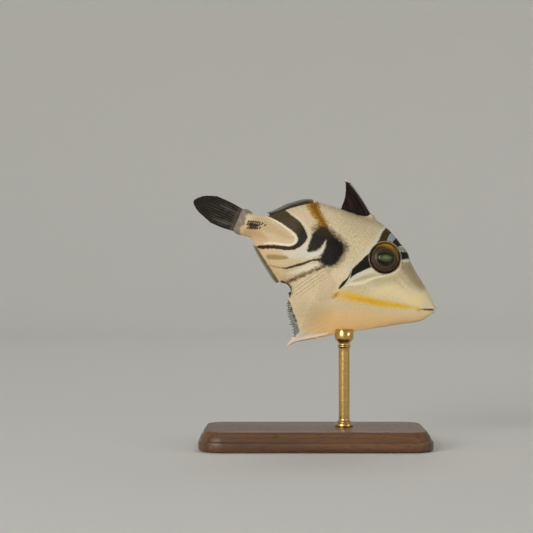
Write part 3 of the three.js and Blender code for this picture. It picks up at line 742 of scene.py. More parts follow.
    mark("ochreStripe", "#7d5404", 0.55, 0.92, wobble=0.5,
         patch=[(31.9, 10.0), (31.2, 8.6), (30.4, 7.75), (29.5, 7.2), (28.5, 6.6), (27.5, 6.0),
                (26.9, 5.0), (25.9, 5.5), (26.5, 6.3), (27.2, 6.85), (28.0, 7.5), (28.8, 8.15),
                (29.6, 8.9), (30.3, 10.4)]),
    mark("blotchHaze", "#4b3d28", 0.7, 0.85, wobble=0.6,
         patch=[(28.7, 4.8), (28.0, 5.7), (26.6, 6.0), (25.2, 5.9), (23.9, 5.4), (22.5, 5.0),
                (21.1, 4.3), (20.6, 3.2), (20.9, 1.5), (21.3, 0), (22.3, -1.2), (23.9, -1.6),
                (25, -0.8), (25.1, 1), (25.3, 3.4), (27.8, 3.4), (28.5, 3.8)]),
    mark("blotch", "#140d05", 0.26, 1.0, wobble=0.2,
         patch=[(25.35, 3.4), (25.6, 2.7), (25.68, 2.0), (25.98, 1.2), (26.75, 0.4), (27.75, -0.2),
                (28.1, 0.35), (28.2, 1.5), (28.3, 2.6), (28.35, 3.3), (28.0, 4.3), (27.5, 5.1),
                (26.6, 5.6), (25.5, 5.3), (24.5, 4.8), (23.5, 4.5), (22.3, 4.2), (21.6, 3.5),
                (21.4, 2.6), (21.5, 1.6), (21.6, 0.6), (22.0, -0.3), (22.9, -0.95), (23.8, -1.4),
                (24.1, -1.0), (24.6, -0.9), (25.15, -0.75), (25.0, 0.0), (24.98, 1.0),
                (25.05, 2.0)]),
    mark("blotchOlive", "#3a2c12", 0.9, 0.65, inside="blotch", wobble=0.5,
         patch=[(28.8, 6.2), (28.8, 3.6), (27, 4.0), (25.2, 4.2), (24, 5.6), (26, 6.5)]),
    mark("hook", "#d9d8ce", 0.12, 0.97,
         strokes=[[(25.42, 3.2, 0.03), (25.34, 2.7, 0.08), (25.3, 2.0, 0.14), (25.34, 1.35, 0.24),
                   (25.6, 0.65, 0.34), (26.3, 0.0, 0.42), (27.2, -0.6, 0.45), (28.2, -0.7, 0.4),
                   (28.9, 0.1, 0.2)]]),
    mark("uPaleLine", "#ddd6c4", 0.13, 0.9,
         strokes=[[(28.7, 0.4, 0.2), (28.6, 1.1, 0.2), (28.55, 2.0, 0.17), (28.7, 2.8, 0.17),
                   (29.2, 3.65, 0.18), (29.95, 4.3, 0.18), (31.0, 4.85, 0.17), (32.3, 5.25, 0.16),
                   (33.6, 5.55, 0.12), (34.8, 5.95, 0.08)]]),
    mark("uBand", "#241c11", 0.11, 1.0, wobble=0.14,
         patch=[(38.6, 3.6), (37.4, 5.4), (36.2, 6.8), (35.3, 5.75), (34.4, 5.36), (33.4, 5.14),
                (32.5, 4.93), (31.6, 4.62), (30.7, 4.15), (29.95, 3.55), (29.35, 2.92),
                (28.98, 2.3), (28.98, 1.8), (29.12, 1.15), (29.6, 0.2), (30.35, -0.78),
                (31.5, -1.45), (32.85, -1.9), (34.4, -2.38), (35.6, -2.95), (36.9, -3.5),
                (37.4, -3.3), (37.15, -2.95), (36.1, -2.5), (35, -1.87), (33.7, -1.4),
                (32.4, -1.0), (31.35, -0.52), (30.7, 0.1), (30.48, 0.6), (30.48, 1.1),
                (30.7, 1.6), (31.2, 2.05), (32, 2.35), (33, 2.6), (34, 2.8), (35, 3.0),
                (36, 3.07), (37, 3.15), (38, 3.15)]),
    mark("uUpperOlive", "#4e432b", 1.4, 0.85, inside="uBand", wobble=0.6,
         patch=[(39.5, 2), (39, 8), (33, 8), (30.6, 6), (31.4, 3.4), (32.4, 2)]),
    mark("uLowerBrown", "#3a2110", 1.0, 0.85, inside="uBand",
         patch=[(31, 0.2), (33, -0.2), (38, -1.6), (38, -4.2), (33, -3.2), (30.4, -2)]),
    mark("lineTwoFar", "#9b7c50", 0.18, 0.8,
         strokes=[[(33.6, -5.6, 0.05), (32.4, -5.5, 0.14), (31.2, -5.15, 0.17), (30.2, -4.75, 0.2)]]),
    mark("lineTwo", "#2a1d12", 0.11, 0.95,
         strokes=[[(31.0, -5.1, 0.05), (30.3, -4.82, 0.14), (29.5, -4.2, 0.21), (28.6, -3.45, 0.24),
                   (27.6, -2.6, 0.24), (26.6, -1.6, 0.22), (26.0, -1.12, 0.2), (25.3, -0.75, 0.24),
                   (24.7, -0.4, 0.3)]]),
    mark("lineThree", "#6f5531", 0.3, 0.85, wobble=0.3,
         strokes=[[(28.9, -7.2, 0.4), (28.05, -6.25, 0.48), (27.4, -5.4, 0.44), (26.66, -4.6, 0.4),
                   (25.8, -3.7, 0.36), (25, -2.75, 0.32), (24.24, -1.95, 0.3), (23.6, -1.4, 0.28)]]),
    mark("lineThreeSpots", "#2f2113", 0.18, 0.85,
         strokes=[[(28.5, -6.6, 0.12), (28.3, -6.5, 0.12)], [(27.9, -6.35, 0.1), (27.7, -6.2, 0.1)],
                  [(27.05, -5.35, 0.12), (26.9, -5.2, 0.12)], [(26.6, -4.9, 0.14), (26.4, -4.7, 0.1)],
                  [(25.8, -3.95, 0.12), (25.55, -3.7, 0.1)], [(24.7, -2.6, 0.12), (24.1, -2.1, 0.14)]]),
    mark("ventDark", "#25180e", 0.22, 0.95, wobble=0.3,
         strokes=[[(30.4, -7.95, 0.1), (29.7, -7.65, 0.26), (29.0, -7.6, 0.26), (28.35, -7.85, 0.3),
                   (27.85, -8.35, 0.34), (27.6, -9.0, 0.36), (27.45, -9.7, 0.2)]]),
    mark("analBase", "#6f5838", 0.12, 0.85,
         strokes=[[(37.7, -3.3, 0.1), (36.3, -4.3, 0.14), (34.6, -5.4, 0.16), (32.8, -6.58, 0.18),
                   (31.4, -7.45, 0.18), (30.6, -7.95, 0.1)]]),
    mark("flapMargin", "#737a76", 0.15, 0.85, wobble=0.25,
         patch=[(27.6, -10.5), (27.15, -10.75), (25.8, -12.0), (24.85, -13.0), (23.85, -13.9),
                (23.2, -14.6), (22.9, -15.1), (22.9, -15.9), (23.3, -16.9), (24.1, -16),
                (25.2, -14.8), (26.2, -13.4), (27.2, -12.2), (27.8, -11)]),
    mark("flapPale", "#aeb3ad", 0.12, 0.7, wobble=0.15,
         strokes=[[(27.4 - 0.27 * i, -10.9 - 0.34 * i, 0.05), (26.8 - 0.27 * i, -10.8 - 0.34 * i, 0.1)]
                  for i in range(15)]),
    mark("flapStreaks", "#2f271f", 0.1, 0.85, wobble=0.2,
         strokes=[[(27.3 - 0.27 * i, -11.1 - 0.34 * i, 0.04), (26.6 - 0.27 * i, -10.95 - 0.34 * i, 0.09)]
                  for i in range(15)]
                 + [[(27.2, -10.6, 0.06), (26.9, -10.85, 0.1), (25.8, -12.0, 0.12),
                     (24.85, -13.0, 0.14), (23.85, -13.8, 0.1)]]),
    mark("tailSmear", "#2a1b0d", 0.35, 0.92, wobble=0.25,
         patch=[(40.9, 0.1), (40.5, -0.45), (39.7, -0.35), (39.1, 0), (38.8, 0.6), (39.4, 0.95),
                (40.2, 0.8), (40.9, 0.5)]),
    mark("tailDashes", "#120d08", 0.08, 1.0, wobble=0.06,
         strokes=[[(s + 0.06, h - 0.16, 0.13), (s - 0.06, h + 0.16, 0.13)]
                  for row in thorns["rows"] for s, h in row]),
    mark("tailHem", "#776b62", 0.32, 0.88, wobble=0.2,
         patch=[(41.0, 3.0), (41.1, 2.3), (41.9, 1.6), (41.7, 0.6), (41.5, -0.25), (41.9, -1.0),
                (41.8, -1.9), (41.3, -2.4), (41.2, -3), (44.2, -3.2), (44.2, 3.2)]),
    mark("tailHemPale", "#a3958b", 0.3, 0.65, wobble=0.3,
         strokes=[[(43.3, 2.3, 0.1), (42.4, 1.7, 0.2), (42.2, 1.2, 0.1)],
                  [(43.4, 0.2, 0.1), (42.5, 0, 0.2), (42.1, -0.3, 0.1)],
                  [(43.2, -1.8, 0.1), (42.5, -1.7, 0.2), (42.1, -1.3, 0.1)]]),
    # Painted shade: a dark line along the carved mouth slit, and a fainter one along the crease behind
    # its corner
    mark("mouthSlit", "#6b4a22", 0.14, 0.9,
         strokes=[[(-0.7, 0.0, 0.2), (0.6, -0.6, 0.2), (1.75, -1.08, 0.16)]]),
    mark("mouthCreaseShade", "#ab8f5c", 0.3, 0.55,
         strokes=[[(1.9, -1.15, 0.12), (2.9, -1.65, 0.24)]]),
]


# Materials

def linear(colour):
    parts = [int(colour[i:i + 2], 16) / 255 for i in (1, 3, 5)]
    return tuple(c / 12.92 if c <= 0.04045 else ((c + 0.055) / 1.055) ** 2.4 for c in parts) + (1.0,)


# Gives a node its inputs: a number or vector, a hex colour, or another node's output.
def feed(tree, item, inputs):
    for key, value in inputs.items():
        if isinstance(value, bpy.types.NodeSocket):
            tree.links.new(value, item.inputs[key])
        else:
            item.inputs[key].default_value = linear(value) if isinstance(value, str) else value


def addNode(tree, kind, inputs=None, out=0, **settings):
    item = tree.nodes.new("ShaderNode" + kind)
    for key, value in settings.items():
        setattr(item, key, value)
    feed(tree, item, inputs or {})
    return item.outputs[out]


def newMaterial(name, **finish):
    material = bpy.data.materials.new(name)
    material.use_nodes = True
    tree = material.node_tree
    surface = tree.nodes["Principled BSDF"]
    feed(tree, surface, {key.replace("_", " "): value for key, value in finish.items()})
    return material, tree, surface


# The fish's own millimetres, a noise over them with patches of one size, and the same noise as
# a wobble from -1 to 1 that breaks up painted edges.
def unevenPaint(tree, patch, detail, roughness=0.5):
    place = addNode(tree, "Attribute", out="Vector", attribute_name="fishPlace")
    noise = addNode(tree, "TexNoise", {"Vector": place, "Scale": 1 / patch, "Detail": detail,
                                       "Roughness": roughness})
    wobble = addNode(tree, "MapRange", {0: noise, 1: 0.25, 2: 0.75, 3: -1.0, 4: 1.0})
    return place, noise, wobble


# Lays painted marks over a ground colour. Each mark's edge is broken up by the wobble socket.
def painted(tree, ground, marks, wobble):
    colour, shares = ground, {}
    for each in marks:
        field = addNode(tree, "Attribute", out="Fac", attribute_name=each["name"])
        ragged = addNode(tree, "Math", {0: wobble, 1: each["wobble"], 2: field},
                         operation="MULTIPLY_ADD")
        share = addNode(tree, "MapRange", {0: ragged, 1: -each["soft"], 2: each["soft"], 3: 0.0,
                                           4: each["strength"]},
                        interpolation_type="SMOOTHSTEP")
        if each["inside"]:
            share = addNode(tree, "Math", {0: share, 1: shares[each["inside"]]},
                            operation="MULTIPLY")
        shares[each["name"]] = share
        colour = addNode(tree, "Mix", {0: share, 6: colour, 7: each["colour"]},
                         out=2, data_type="RGBA")
    return colour


# Sizes are in mm
castSkin = dict(
    creams=("#e4cfa6", "#dccfae"), blush=2.22,
    edge=0.526,  # how long the ragged bits of a sprayed edge are
    # the first is the painted shade for the grooves between the plates, the second the size of the noise
    # that breaks it up
    plateGrooveShade="#a8946c", unevenness=0.278,
    fleck="#95856a", fleckSize=(0.625, 0.25),  # along and across the plates' rows
    pleat="#b08e68", pleatWay=(0.87, 0.494, 0), pleatPitch=0.64,
    thorn="#1d150e",
    speckle=0.1333,
)


# Cast polyurethane resin, airbrushed with acrylics and sealed with satin varnish: fine sprayed
# edges, a speckle in every tone and one even, soft sheen over all colours.
def airbrushedResin():
    look = castSkin
    material, tree, surface = newMaterial(
        "airbrushedResin", IOR=1.5, Specular_IOR_Level=0.16, Coat_Weight=0.06, Coat_Roughness=0.3,
        Coat_IOR=1.5, Subsurface_Weight=0.08, Subsurface_Scale=0.0004,
    )
    place, _, wobble = unevenPaint(tree, look["edge"], 4.0, 0.62)
    weave = addNode(tree, "Attribute", out="Vector", attribute_name="weave")
    scaly = addNode(tree, "Attribute", out="Fac", attribute_name="scaly")
    blush = addNode(tree, "TexNoise", {"Vector": place, "Scale": 1 / look["blush"], "Detail": 3.0})
    ground = addNode(tree, "Mix", {0: blush, 6: look["creams"][0], 7: look["creams"][1]},
                     out=2, data_type="RGBA")
    # Plates in diagonal rows; their grooves take a painted shade, broken up by a noise
    height = None
    for way in relief["scaleWays"]:
        heading = (math.cos(way) / relief["scalePitch"], math.sin(way) / relief["scalePitch"], 0)
        across = addNode(tree, "VectorMath", {0: weave, 1: heading}, "Value",
                         operation="DOT_PRODUCT")
        saw = addNode(tree, "Math", {0: across, 1: 0.5}, operation="PINGPONG")
        height = saw if height is None else addNode(tree, "Math", {0: height, 1: saw},
                                                    operation="MINIMUM")
    plates = addNode(tree, "MapRange", {0: height, 1: 0.0, 2: 0.26},
                     interpolation_type="SMOOTHSTEP")
    between = addNode(tree, "Math", {0: 1.0, 1: plates}, operation="SUBTRACT")
    unevenness = addNode(tree, "TexNoise", {"Vector": place, "Scale": 1 / look["unevenness"], "Detail": 5.0,
                                      "Roughness": 0.7})
    grooveShadeShare = addNode(tree, "MapRange", {0: unevenness, 1: 0.42, 2: 0.66, 3: 0.0, 4: 0.6})
    tone = addNode(tree, "Math", {0: between, 1: grooveShadeShare}, operation="MULTIPLY")
    tone = addNode(tree, "Math", {0: tone, 1: scaly}, operation="MULTIPLY")
    ground = addNode(tree, "Mix", {0: tone, 6: ground, 7: look["plateGrooveShade"]},
                     out=2, data_type="RGBA")
    # Fine grey-brown flecks over the back and flanks, drawn out along the plates' rows
    along, across = look["fleckSize"]
    rows = addNode(tree, "Mapping", {"Vector": weave, "Rotation": (0, 0, relief["scaleWays"][1]),
                                     "Scale": (1 / along, 1 / across, 1)})
    grain = addNode(tree, "TexNoise", {"Vector": rows, "Scale": 1.0, "Detail": 6.0,
                                       "Roughness": 0.78})
    flecks = addNode(tree, "MapRange", {0: grain, 1: 0.47, 2: 0.66, 3: 0.0, 4: 0.62})
    flecks = addNode(tree, "Math", {0: flecks, 1: scaly}, operation="MULTIPLY")
    ground = addNode(tree, "Mix", {0: flecks, 6: ground, 7: look["fleck"]}, out=2, data_type="RGBA")
    colour = painted(tree, ground, markings, wobble)
    # Fine pleats below the blotch
    pleat = addNode(tree, "VectorMath", {0: place, 1: look["pleatWay"]}, "Value",
                    operation="DOT_PRODUCT")
    bend = addNode(tree, "Math", {0: wobble, 1: 0.16, 2: pleat}, operation="MULTIPLY_ADD")
    saw = addNode(tree, "Math", {0: bend, 1: look["pleatPitch"] / 2}, operation="PINGPONG")
    line = addNode(tree, "MapRange", {0: saw, 1: 0.02, 2: 0.2, 3: 1.0, 4: 0.0},
                   interpolation_type="SMOOTHSTEP")
    zone = addNode(tree, "Attribute", out="Fac", attribute_name="pleats")
    line = addNode(tree, "Math", {0: line, 1: zone}, operation="MULTIPLY")
    colour = addNode(tree, "Mix", {0: line, 6: colour, 7: look["pleat"]}, out=2, data_type="RGBA")
    thorn = addNode(tree, "Attribute", out="Fac", attribute_name="thorn")
    colour = addNode(tree, "Mix", {0: thorn, 6: colour, 7: look["thorn"]}, out=2, data_type="RGBA")
    # The spray's speckle lightens and darkens every colour
    dots = addNode(tree, "TexNoise", {"Vector": place, "Scale": 1 / look["speckle"], "Detail": 2.0})
    light = addNode(tree, "MapRange", {0: dots, 1: 0.3, 2: 0.7, 3: 0.9, 4: 1.1})
    colour = addNode(tree, "VectorMath", {0: colour, 3: light}, operation="SCALE")
    rough = addNode(tree, "MapRange", {0: unevenness, 1: 0.3, 2: 0.7, 3: 0.4, 4: 0.54})
    uneven = addNode(tree, "Math", {0: unevenness, 1: 0.35, 2: plates}, operation="MULTIPLY_ADD")
    bump = addNode(tree, "Bump", {"Strength": 0.35, "Distance": 0.03 * mm, "Height": uneven})
    feed(tree, surface, {"Base Color": colour, "Roughness": rough, "Normal": bump})
    return material


pleatZone = mark("pleats", castSkin["pleat"], 1.0, 0.55,
                 patch=[(27.4, -7.7), (26.3, -5.2), (24.9, -3.3), (23, -1.9), (22.8, -3.6),
                        (23.6, -6), (25.2, -8.3), (26.6, -9.7)])


def makeSkin():
    parts = [bodyShell(), knob(at(*flesh["shoulder"][0]), flesh["shoulder"][1])]
    parts += [lip(rise) for rise in mouth["lips"]]
    parts += keelParts() + ridgeParts() + fringeParts() + [eyeRoll(side) for side in (-1, 1)]
    points, quads = voxelSkin(parts, flesh["voxel"])
    edges = edgesOf(quads)
    points = carve(relax(points, edges, flesh["smoothing"]), quads)
    for side in (-1, 1):
        points = seatEye(points, side)
    points = relax(points, edges, 2, 0.35)
    points, faces = together([(points, quads.tolist()), together(tailThorns())])
    s, h = -points[:, 0], points[:, 2]
    scaly = (smoothStep(3.4, 4.6, fromEye(s, h)) * smoothStep(4, 10, s) * smoothStep(42, 39, s)
             * lerp(0.35, 1.0, smoothStep(-6, 2, h)))
    pleats = pleatZone["strength"] * smoothStep(-0.9, 0.6, markField(pleatZone, s, h))
    weave = np.stack([*wander(s, girthOf(s, h)), 0 * s], axis=1)
    thorn = 0.9 * (np.arange(len(points)) > quads.max())
    print("skin:", len(points), "points")
    return fishPiece("skin", points, faces, markings, scaly=scaly, pleats=pleats, weave=weave,
                     thorn=thorn)


skin = makeSkin()
settle(skin, airbrushedResin(), "skin", "head", "torso", "pelvic_flap", "tail_base")
print("skin done")

# Eyes: painted glass, each in its socket

eyeMarks = [
    # Painted shade: a dark ring at the ball's edge, where the lid's skin tucks in over it
    mark("irisRimShade", "#1b150e", 0.12, 0.8, rings=[(2.96, 0.06)]),
    mark("irisRing", "#6a5a48", 0.1, 0.55,
         rings=[(2.52, 0.06), (1.95, 0.07)]),
    mark("goldTop", "#8a6619", 0.2, 0.95,
         strokes=[[(15.8, 6.4, 0.08), (15.25, 7.0, 0.26), (14.4, 7.4, 0.4), (13.3, 7.55, 0.48),
                   (12.2, 7.3, 0.46), (11.4, 6.75, 0.36), (10.8, 5.9, 0.15)]]),
    mark("goldGlow", "#bd9238", 0.18, 0.9,
         strokes=[[(14.9, 7.35, 0.04), (13.7, 7.6, 0.15), (12.7, 7.45, 0.08)]]),
    mark("greenFront", "#6d6838", 0.22, 0.8,
         strokes=[[(11.6, 6.95, 0.12), (10.95, 6.2, 0.2), (10.7, 5.4, 0.08)]]),
    mark("innerBrown", "#1c150e", 0.12, 0.9,
         strokes=[[(14.6, 4.1, 0.08), (14.0, 3.85, 0.22), (13.0, 3.8, 0.24), (12.2, 4.1, 0.14)]]),
    mark("pupilEdge", "#17130d", 0.22, 0.9,
         patch=[(14.85, 5.0), (14.2, 5.8), (12.9, 6.25), (11.85, 5.95), (11.8, 4.75), (13, 3.95),
                (14.2, 3.95)]),
    mark("pupil", "#474e34", 0.22, 1.0,
         patch=[(14.4, 5.0), (13.9, 5.5), (12.86, 5.85), (12.2, 5.6), (12.2, 4.85), (13.1, 4.35),
                (13.95, 4.3)]),
    # Painted highlight: a soft pale glint across the pupil
    mark("pupilGlint", "#76805a", 0.25, 0.8,
         strokes=[[(13.8, 4.9, 0.1), (13.2, 5.2, 0.3), (12.7, 5.4, 0.12)]]),
    mark("pupilCrescent", "#9c937f", 0.07, 0.9,
         strokes=[[(14.42, 5.1, 0.03), (14.48, 4.7, 0.1), (14.2, 4.35, 0.05)]]),
    mark("pupilSpot", "#080706", 0.06, 0.95,
         strokes=[[(12.0, 5.42, 0.15), (11.88, 5.5, 0.15)]]),
]


# Taxidermy glass painted on its back: a wet, mirror-like dome over matt enamel colours
def paintedGlass():
    material, tree, surface = newMaterial(
        "paintedGlass", Roughness=0.5, IOR=1.52, Specular_IOR_Level=0.05, Coat_Weight=0.13,
        Coat_Roughness=0.02, Coat_IOR=1.52,
    )
    _, noise, wobble = unevenPaint(tree, 0.25, 4.0)
    ground = addNode(tree, "Mix", {0: noise, 6: "#2e271b", 7: "#4a3f2c"}, out=2, data_type="RGBA")
    feed(tree, surface, {"Base Color": painted(tree, ground, eyeMarks, wobble)})
    return material


def makeEye(side, name):
    middle, ahead, up, out = eyeAxes(side)
    fall = np.linspace(0.01, math.pi - 0.01, 110)[:, None, None]
    turn = circle(160)[None, :, None]
    away = ahead * np.cos(turn) + up * np.sin(turn)
    deep = np.where(fall < math.pi / 2, fish["eyeBulge"], 1.1) * np.cos(fall)  # flatter behind
    verts, faces = loft(middle + out * deep + away * fish["eyeRadius"] * np.sin(fall))
    return fishPiece(name, verts, faces, eyeMarks)


glass = paintedGlass()
for side, word in ((1, "left"), (-1, "right")):
    settle(makeEye(side, "glassEye_" + word), glass, "eye", "eye_" + word)
print("eyes done")


# Fins: thin cast sheets with forked rays

# place(u, v) is the sheet's middle surface, u from the first ray to the last, v root to edge.
# The fields say how near a ray is, how far out, and how far under the top a curled fin is.
def finSheet(place, size, rays, rayRise, thick=0.34, fork=0.4):
    u, v = np.meshgrid(np.linspace(0, 1, size[0]), np.linspace(0, 1, size[1]), indexing="ij")
    points = place(u, v)
    normal = unit(np.cross(np.gradient(points, axis=0), np.gradient(points, axis=1)))
    phase = u * (rays - 1)
    away = np.abs(phase - np.round(phase))
    ray = bead(away - 0.2 * smoothStep(fork, 0.8, v), lerp(0.16, 0.1, v))
    half = (thick / 2 * (1 - 0.55 * v) + rayRise * ray * (1 - 0.45 * v))[..., None]
    rise = np.abs(points[..., 2] - points[:, :1, 2])
    brim = rise.max(axis=1, keepdims=True) - rise
    index = np.arange(u.size).reshape(size)
    a, b, c, d = index[:-1, :-1], index[1:, :-1], index[1:, 1:], index[:-1, 1:]
    grid = np.stack([a, b, c, d], axis=-1).reshape(-1, 4)
    rim = np.concatenate([index[:-1, 0], index[-1, :-1], index[:0:-1, -1], index[0, :0:-1]])
    after = np.roll(rim, -1)
    edge = np.stack([after, rim, rim + u.size, after + u.size], axis=1)
    faces = np.concatenate([grid, grid[:, ::-1] + u.size, edge])
    verts = np.stack([points + normal * half, points - normal * half]).reshape(-1, 3)
    fields = {key: np.tile(values.ravel(), 2) for key, values in
              dict(ray=ray, out=v, brim=brim).items()}
    return verts, faces.tolist(), fields


# Rays curl over to the fish's left as they go out, as the CAD's fins do.
def sweptPlace(root, up, off, length, lean, angles, ends):
    a, b = map(math.radians, angles)

    def place(u, v):
        s = lerp(ends[0], ends[1], u)
        slope = (root(s + 0.05) - root(s - 0.05)) / 0.1
        along, outward = unit(at(1 + 0 * s, slope)), unit(at(-up * slope, up + 0 * s))
        turn = a + (b - a) * v
        rise = (np.sin(turn) - math.sin(a)) / (b - a)
        swing = (math.cos(a) - np.cos(turn)) / (b - a)
        reach = length(u)
        lift = ((off + rise * reach) * (1 + 0 * v) - 0.5 * (1 - v) ** 6)[..., None]
        side = np.stack([0 * s, swing * reach, 0 * s], axis=-1)
        return at(s, root(s)) + outward * lift + side + along * (lean * v * reach)[..., None]

    return place


# Clear polyester resin tinted with smoke dye, cast thin and rubbed down with fine wool: nearly
# opaque, milky along the rays, and matt so that no edge catches the light
def smokedResin(name, colours, marks, alphas, rim=0.0):
    material, tree, surface = newMaterial(
        name, Roughness=0.75, IOR=1.54, Specular_IOR_Level=0.05,
        Subsurface_Weight=0.1, Subsurface_Scale=0.4 * mm,
    )
    _, noise, wobble = unevenPaint(tree, 0.625, 5.0, 0.65)
    ray = addNode(tree, "Attribute", out="Fac", attribute_name="ray")
    ground = addNode(tree, "Mix", {0: noise, 6: colours[0], 7: colours[1]}, out=2, data_type="RGBA")
    colour = painted(tree, ground, marks, wobble)
    out = addNode(tree, "Attribute", out="Fac", attribute_name="out")
    fade = addNode(tree, "MapRange", {0: out, 1: 0.1, 2: 0.8, 3: 0.9, 4: 0.12})
    worn = addNode(tree, "MapRange", {0: noise, 1: 0.36, 2: 0.62, 3: 0.1, 4: 1.0})
    milk = addNode(tree, "Math", {0: ray, 1: fade}, operation="MULTIPLY")
    milk = addNode(tree, "Math", {0: milk, 1: worn}, operation="MULTIPLY")
    colour = addNode(tree, "Mix", {0: milk, 6: colour, 7: colours[2]}, out=2, data_type="RGBA")
    # The pale hem follows where the curled sheet stands highest, so it is partly the fin's pale edge and
    # partly a painted highlight on the bend.
    if rim:  # a pale hem 0.1 mm wide along the top of a fin that curls over
        brim = addNode(tree, "Attribute", out="Fac", attribute_name="brim")
        edge = addNode(tree, "MapRange", {0: brim, 1: 0.04, 2: 0.13, 3: rim, 4: 0.0})
        colour = addNode(tree, "Mix", {0: edge, 6: colour, 7: "#a3a094"}, out=2, data_type="RGBA")
    cloudy = addNode(tree, "Math", {0: noise, 1: 0.3, 2: ray}, operation="MULTIPLY_ADD")
    alpha = addNode(tree, "MapRange", {0: cloudy, 1: 0.1, 2: 0.9, 3: alphas[0], 4: alphas[1]})
    feed(tree, surface, {"Base Color": colour, "Alpha": alpha})
    return material


def makeFin(name, sheet, material, marks, node):
    verts, faces, fields = sheet
    settle(fishPiece(name, verts, faces, marks, **fields), material, "fin_membrane", node)


softDorsal = dict(
    root=body["back"], up=1, off=0.35, lean=0.28, angles=(70, 92), ends=(30.6, 37.6),
    length=track([(0, 2.4), (0.1, 3.9), (0.22, 4.5), (0.5, 4.0), (1, 1.6)]),
)
dorsalMarks = [
    mark("dorsalOchre", "#7d6120", 0.4, 0.9,
         strokes=[[(30.2, 9.4, 0.6), (31.0, 10.0, 0.8), (31.8, 9.8, 0.5)]]),
    mark("dorsalDark", "#3b3021", 0.4, 0.8,
         strokes=[[(35.5, 6.6, 0.3), (36.2, 5.5, 0.5), (37.4, 4.2, 0.3)]]),
]
anal = dict(
    root=body["belly"], up=-1, off=0.3, lean=0.3, angles=(80, 96), ends=(30.5, 37.6),
    length=track([(0, 3.2), (0.18, 4.3), (0.5, 3.6), (1, 1.5)]),
)
analMarks = [
    mark("analTan", "#8a6f49", 0.16, 0.9,
         strokes=[[(38, -3.2, 0.1), (36.3, -4.5, 0.14), (34.6, -5.6, 0.16), (32.8, -6.75, 0.18),
                   (31.4, -7.6, 0.18), (30.5, -8.1, 0.1)]]),
]
makeFin("softDorsalFin", finSheet(sweptPlace(**softDorsal), (260, 90), 25, 0.05),
        smokedResin("smokedDorsal", ("#312d20", "#454030", "#5f5847"), dorsalMarks, (0.96, 1.0),
                    rim=0.5), dorsalMarks, "second_dorsal_fin")
makeFin("analFin", finSheet(sweptPlace(**anal), (250, 90), 22, 0.03),
        smokedResin("smokedAnal", ("#40342a", "#55493a", "#6b5f4e"), analMarks, (0.94, 1.0),
                    rim=0.85), analMarks, "anal_fin")

tail = dict(
    # the root's and the edge's line from the upper ray, 0, to the lower one, 1
    rootS=42.5, rootH=(2.3, -2.35),
    edgeS=track([(0, 48.86), (0.25, 51.36), (0.5, 52.71), (0.75, 51.56), (1, 47.86)]),
    edgeH=track([(0, 2.6), (0.25, 1.5), (0.5, -0.15), (0.75, -1.4), (1, -2.7)]),
    rays=12, tipLeft=0.5,
)


def tailPlace(u, v):
    bow = 0.16 * np.sin(math.pi * v) * np.cos(math.pi * u)
    ragged = 0.04 * v**4 * np.cos(2 * math.pi * (tail["rays"] - 1) * u)
    s = lerp(tail["rootS"], tail["edgeS"](u) + ragged, v)
    return at(s, lerp(lerp(*tail["rootH"], u), tail["edgeH"](u), v) + bow, tail["tipLeft"] * v * v)


tailMarks = [
    mark("tailRootGrey", "#5f5850", 0.5, 0.7,
         strokes=[[(43.4, 2.6, 0.4), (43.6, 0, 0.35), (43.4, -2.6, 0.4)]]),
    mark("tailTipDark", "#26231f", 0.7, 0.5,
         strokes=[[(50.6, 1.4, 0.3), (52.4, 0, 0.3), (51, -2, 0.3)]]),
    mark("tailPaleLow", "#6a645b", 0.35, 0.5,
         strokes=[[(43.6, -1.3, 0.2), (45.5, -1.6, 0.35), (47.6, -1.8, 0.1)],
                  [(43.6, 1.2, 0.15), (45.6, 1.25, 0.2), (47.4, 1.2, 0.05)]]),
]
makeFin("tailFin", finSheet(tailPlace, (240, 150), tail["rays"], 0.05, thick=0.42, fork=0.3),
        smokedResin("smokedTail", ("#1c1a17", "#302c27", "#6f685f"), tailMarks, (0.95, 1.0)),
        tailMarks, "caudal_fin")

pectoral = dict(
    foot=19.6, levels=(-3.9, -6.0), rays=13,
    reach=track([(0, 4.6), (0.25, 5.3), (0.6, 4.9), (1, 3.2)]),
    spread=(30, -42),  # degrees up at the first ray and at the last
    off=(34, 22),  # degrees off the body at the root and at the edge
)


def pectoralPlace(side):
    def place(u, v):
        h = lerp(*pectoral["levels"], u) * (1 + 0 * v)
        spread, off = np.radians(lerp(*pectoral["spread"], u)), np.radians(lerp(*pectoral["off"], v))
        ragged = 1 + 0.012 * np.cos(2 * math.pi * (pectoral["rays"] - 1) * u) * v
        reach = pectoral["reach"](u) * v * ragged
        y = side * (flank(pectoral["foot"] + 0 * u, h) - 0.25 + np.sin(off) * reach)
        return at(pectoral["foot"] + np.cos(spread) * np.cos(off) * reach, h + np.sin(spread) * reach, y)

    return place


paleFin = smokedResin("clearPectoral", ("#d6c8a6", "#dccdab", "#e2d4b4"), [], (0.03, 0.14))
for side, word in ((1, "left"), (-1, "right")):
    makeFin("pectoralFin_" + word,
            finSheet(pectoralPlace(side), (150, 90), pectoral["rays"], 0.03, thick=0.2),
            paleFin, [], "pectoral_fin_" + word)
print("soft fins done")

# First dorsal fin: a stout spine with two shorter ones and the dark membrane they carry

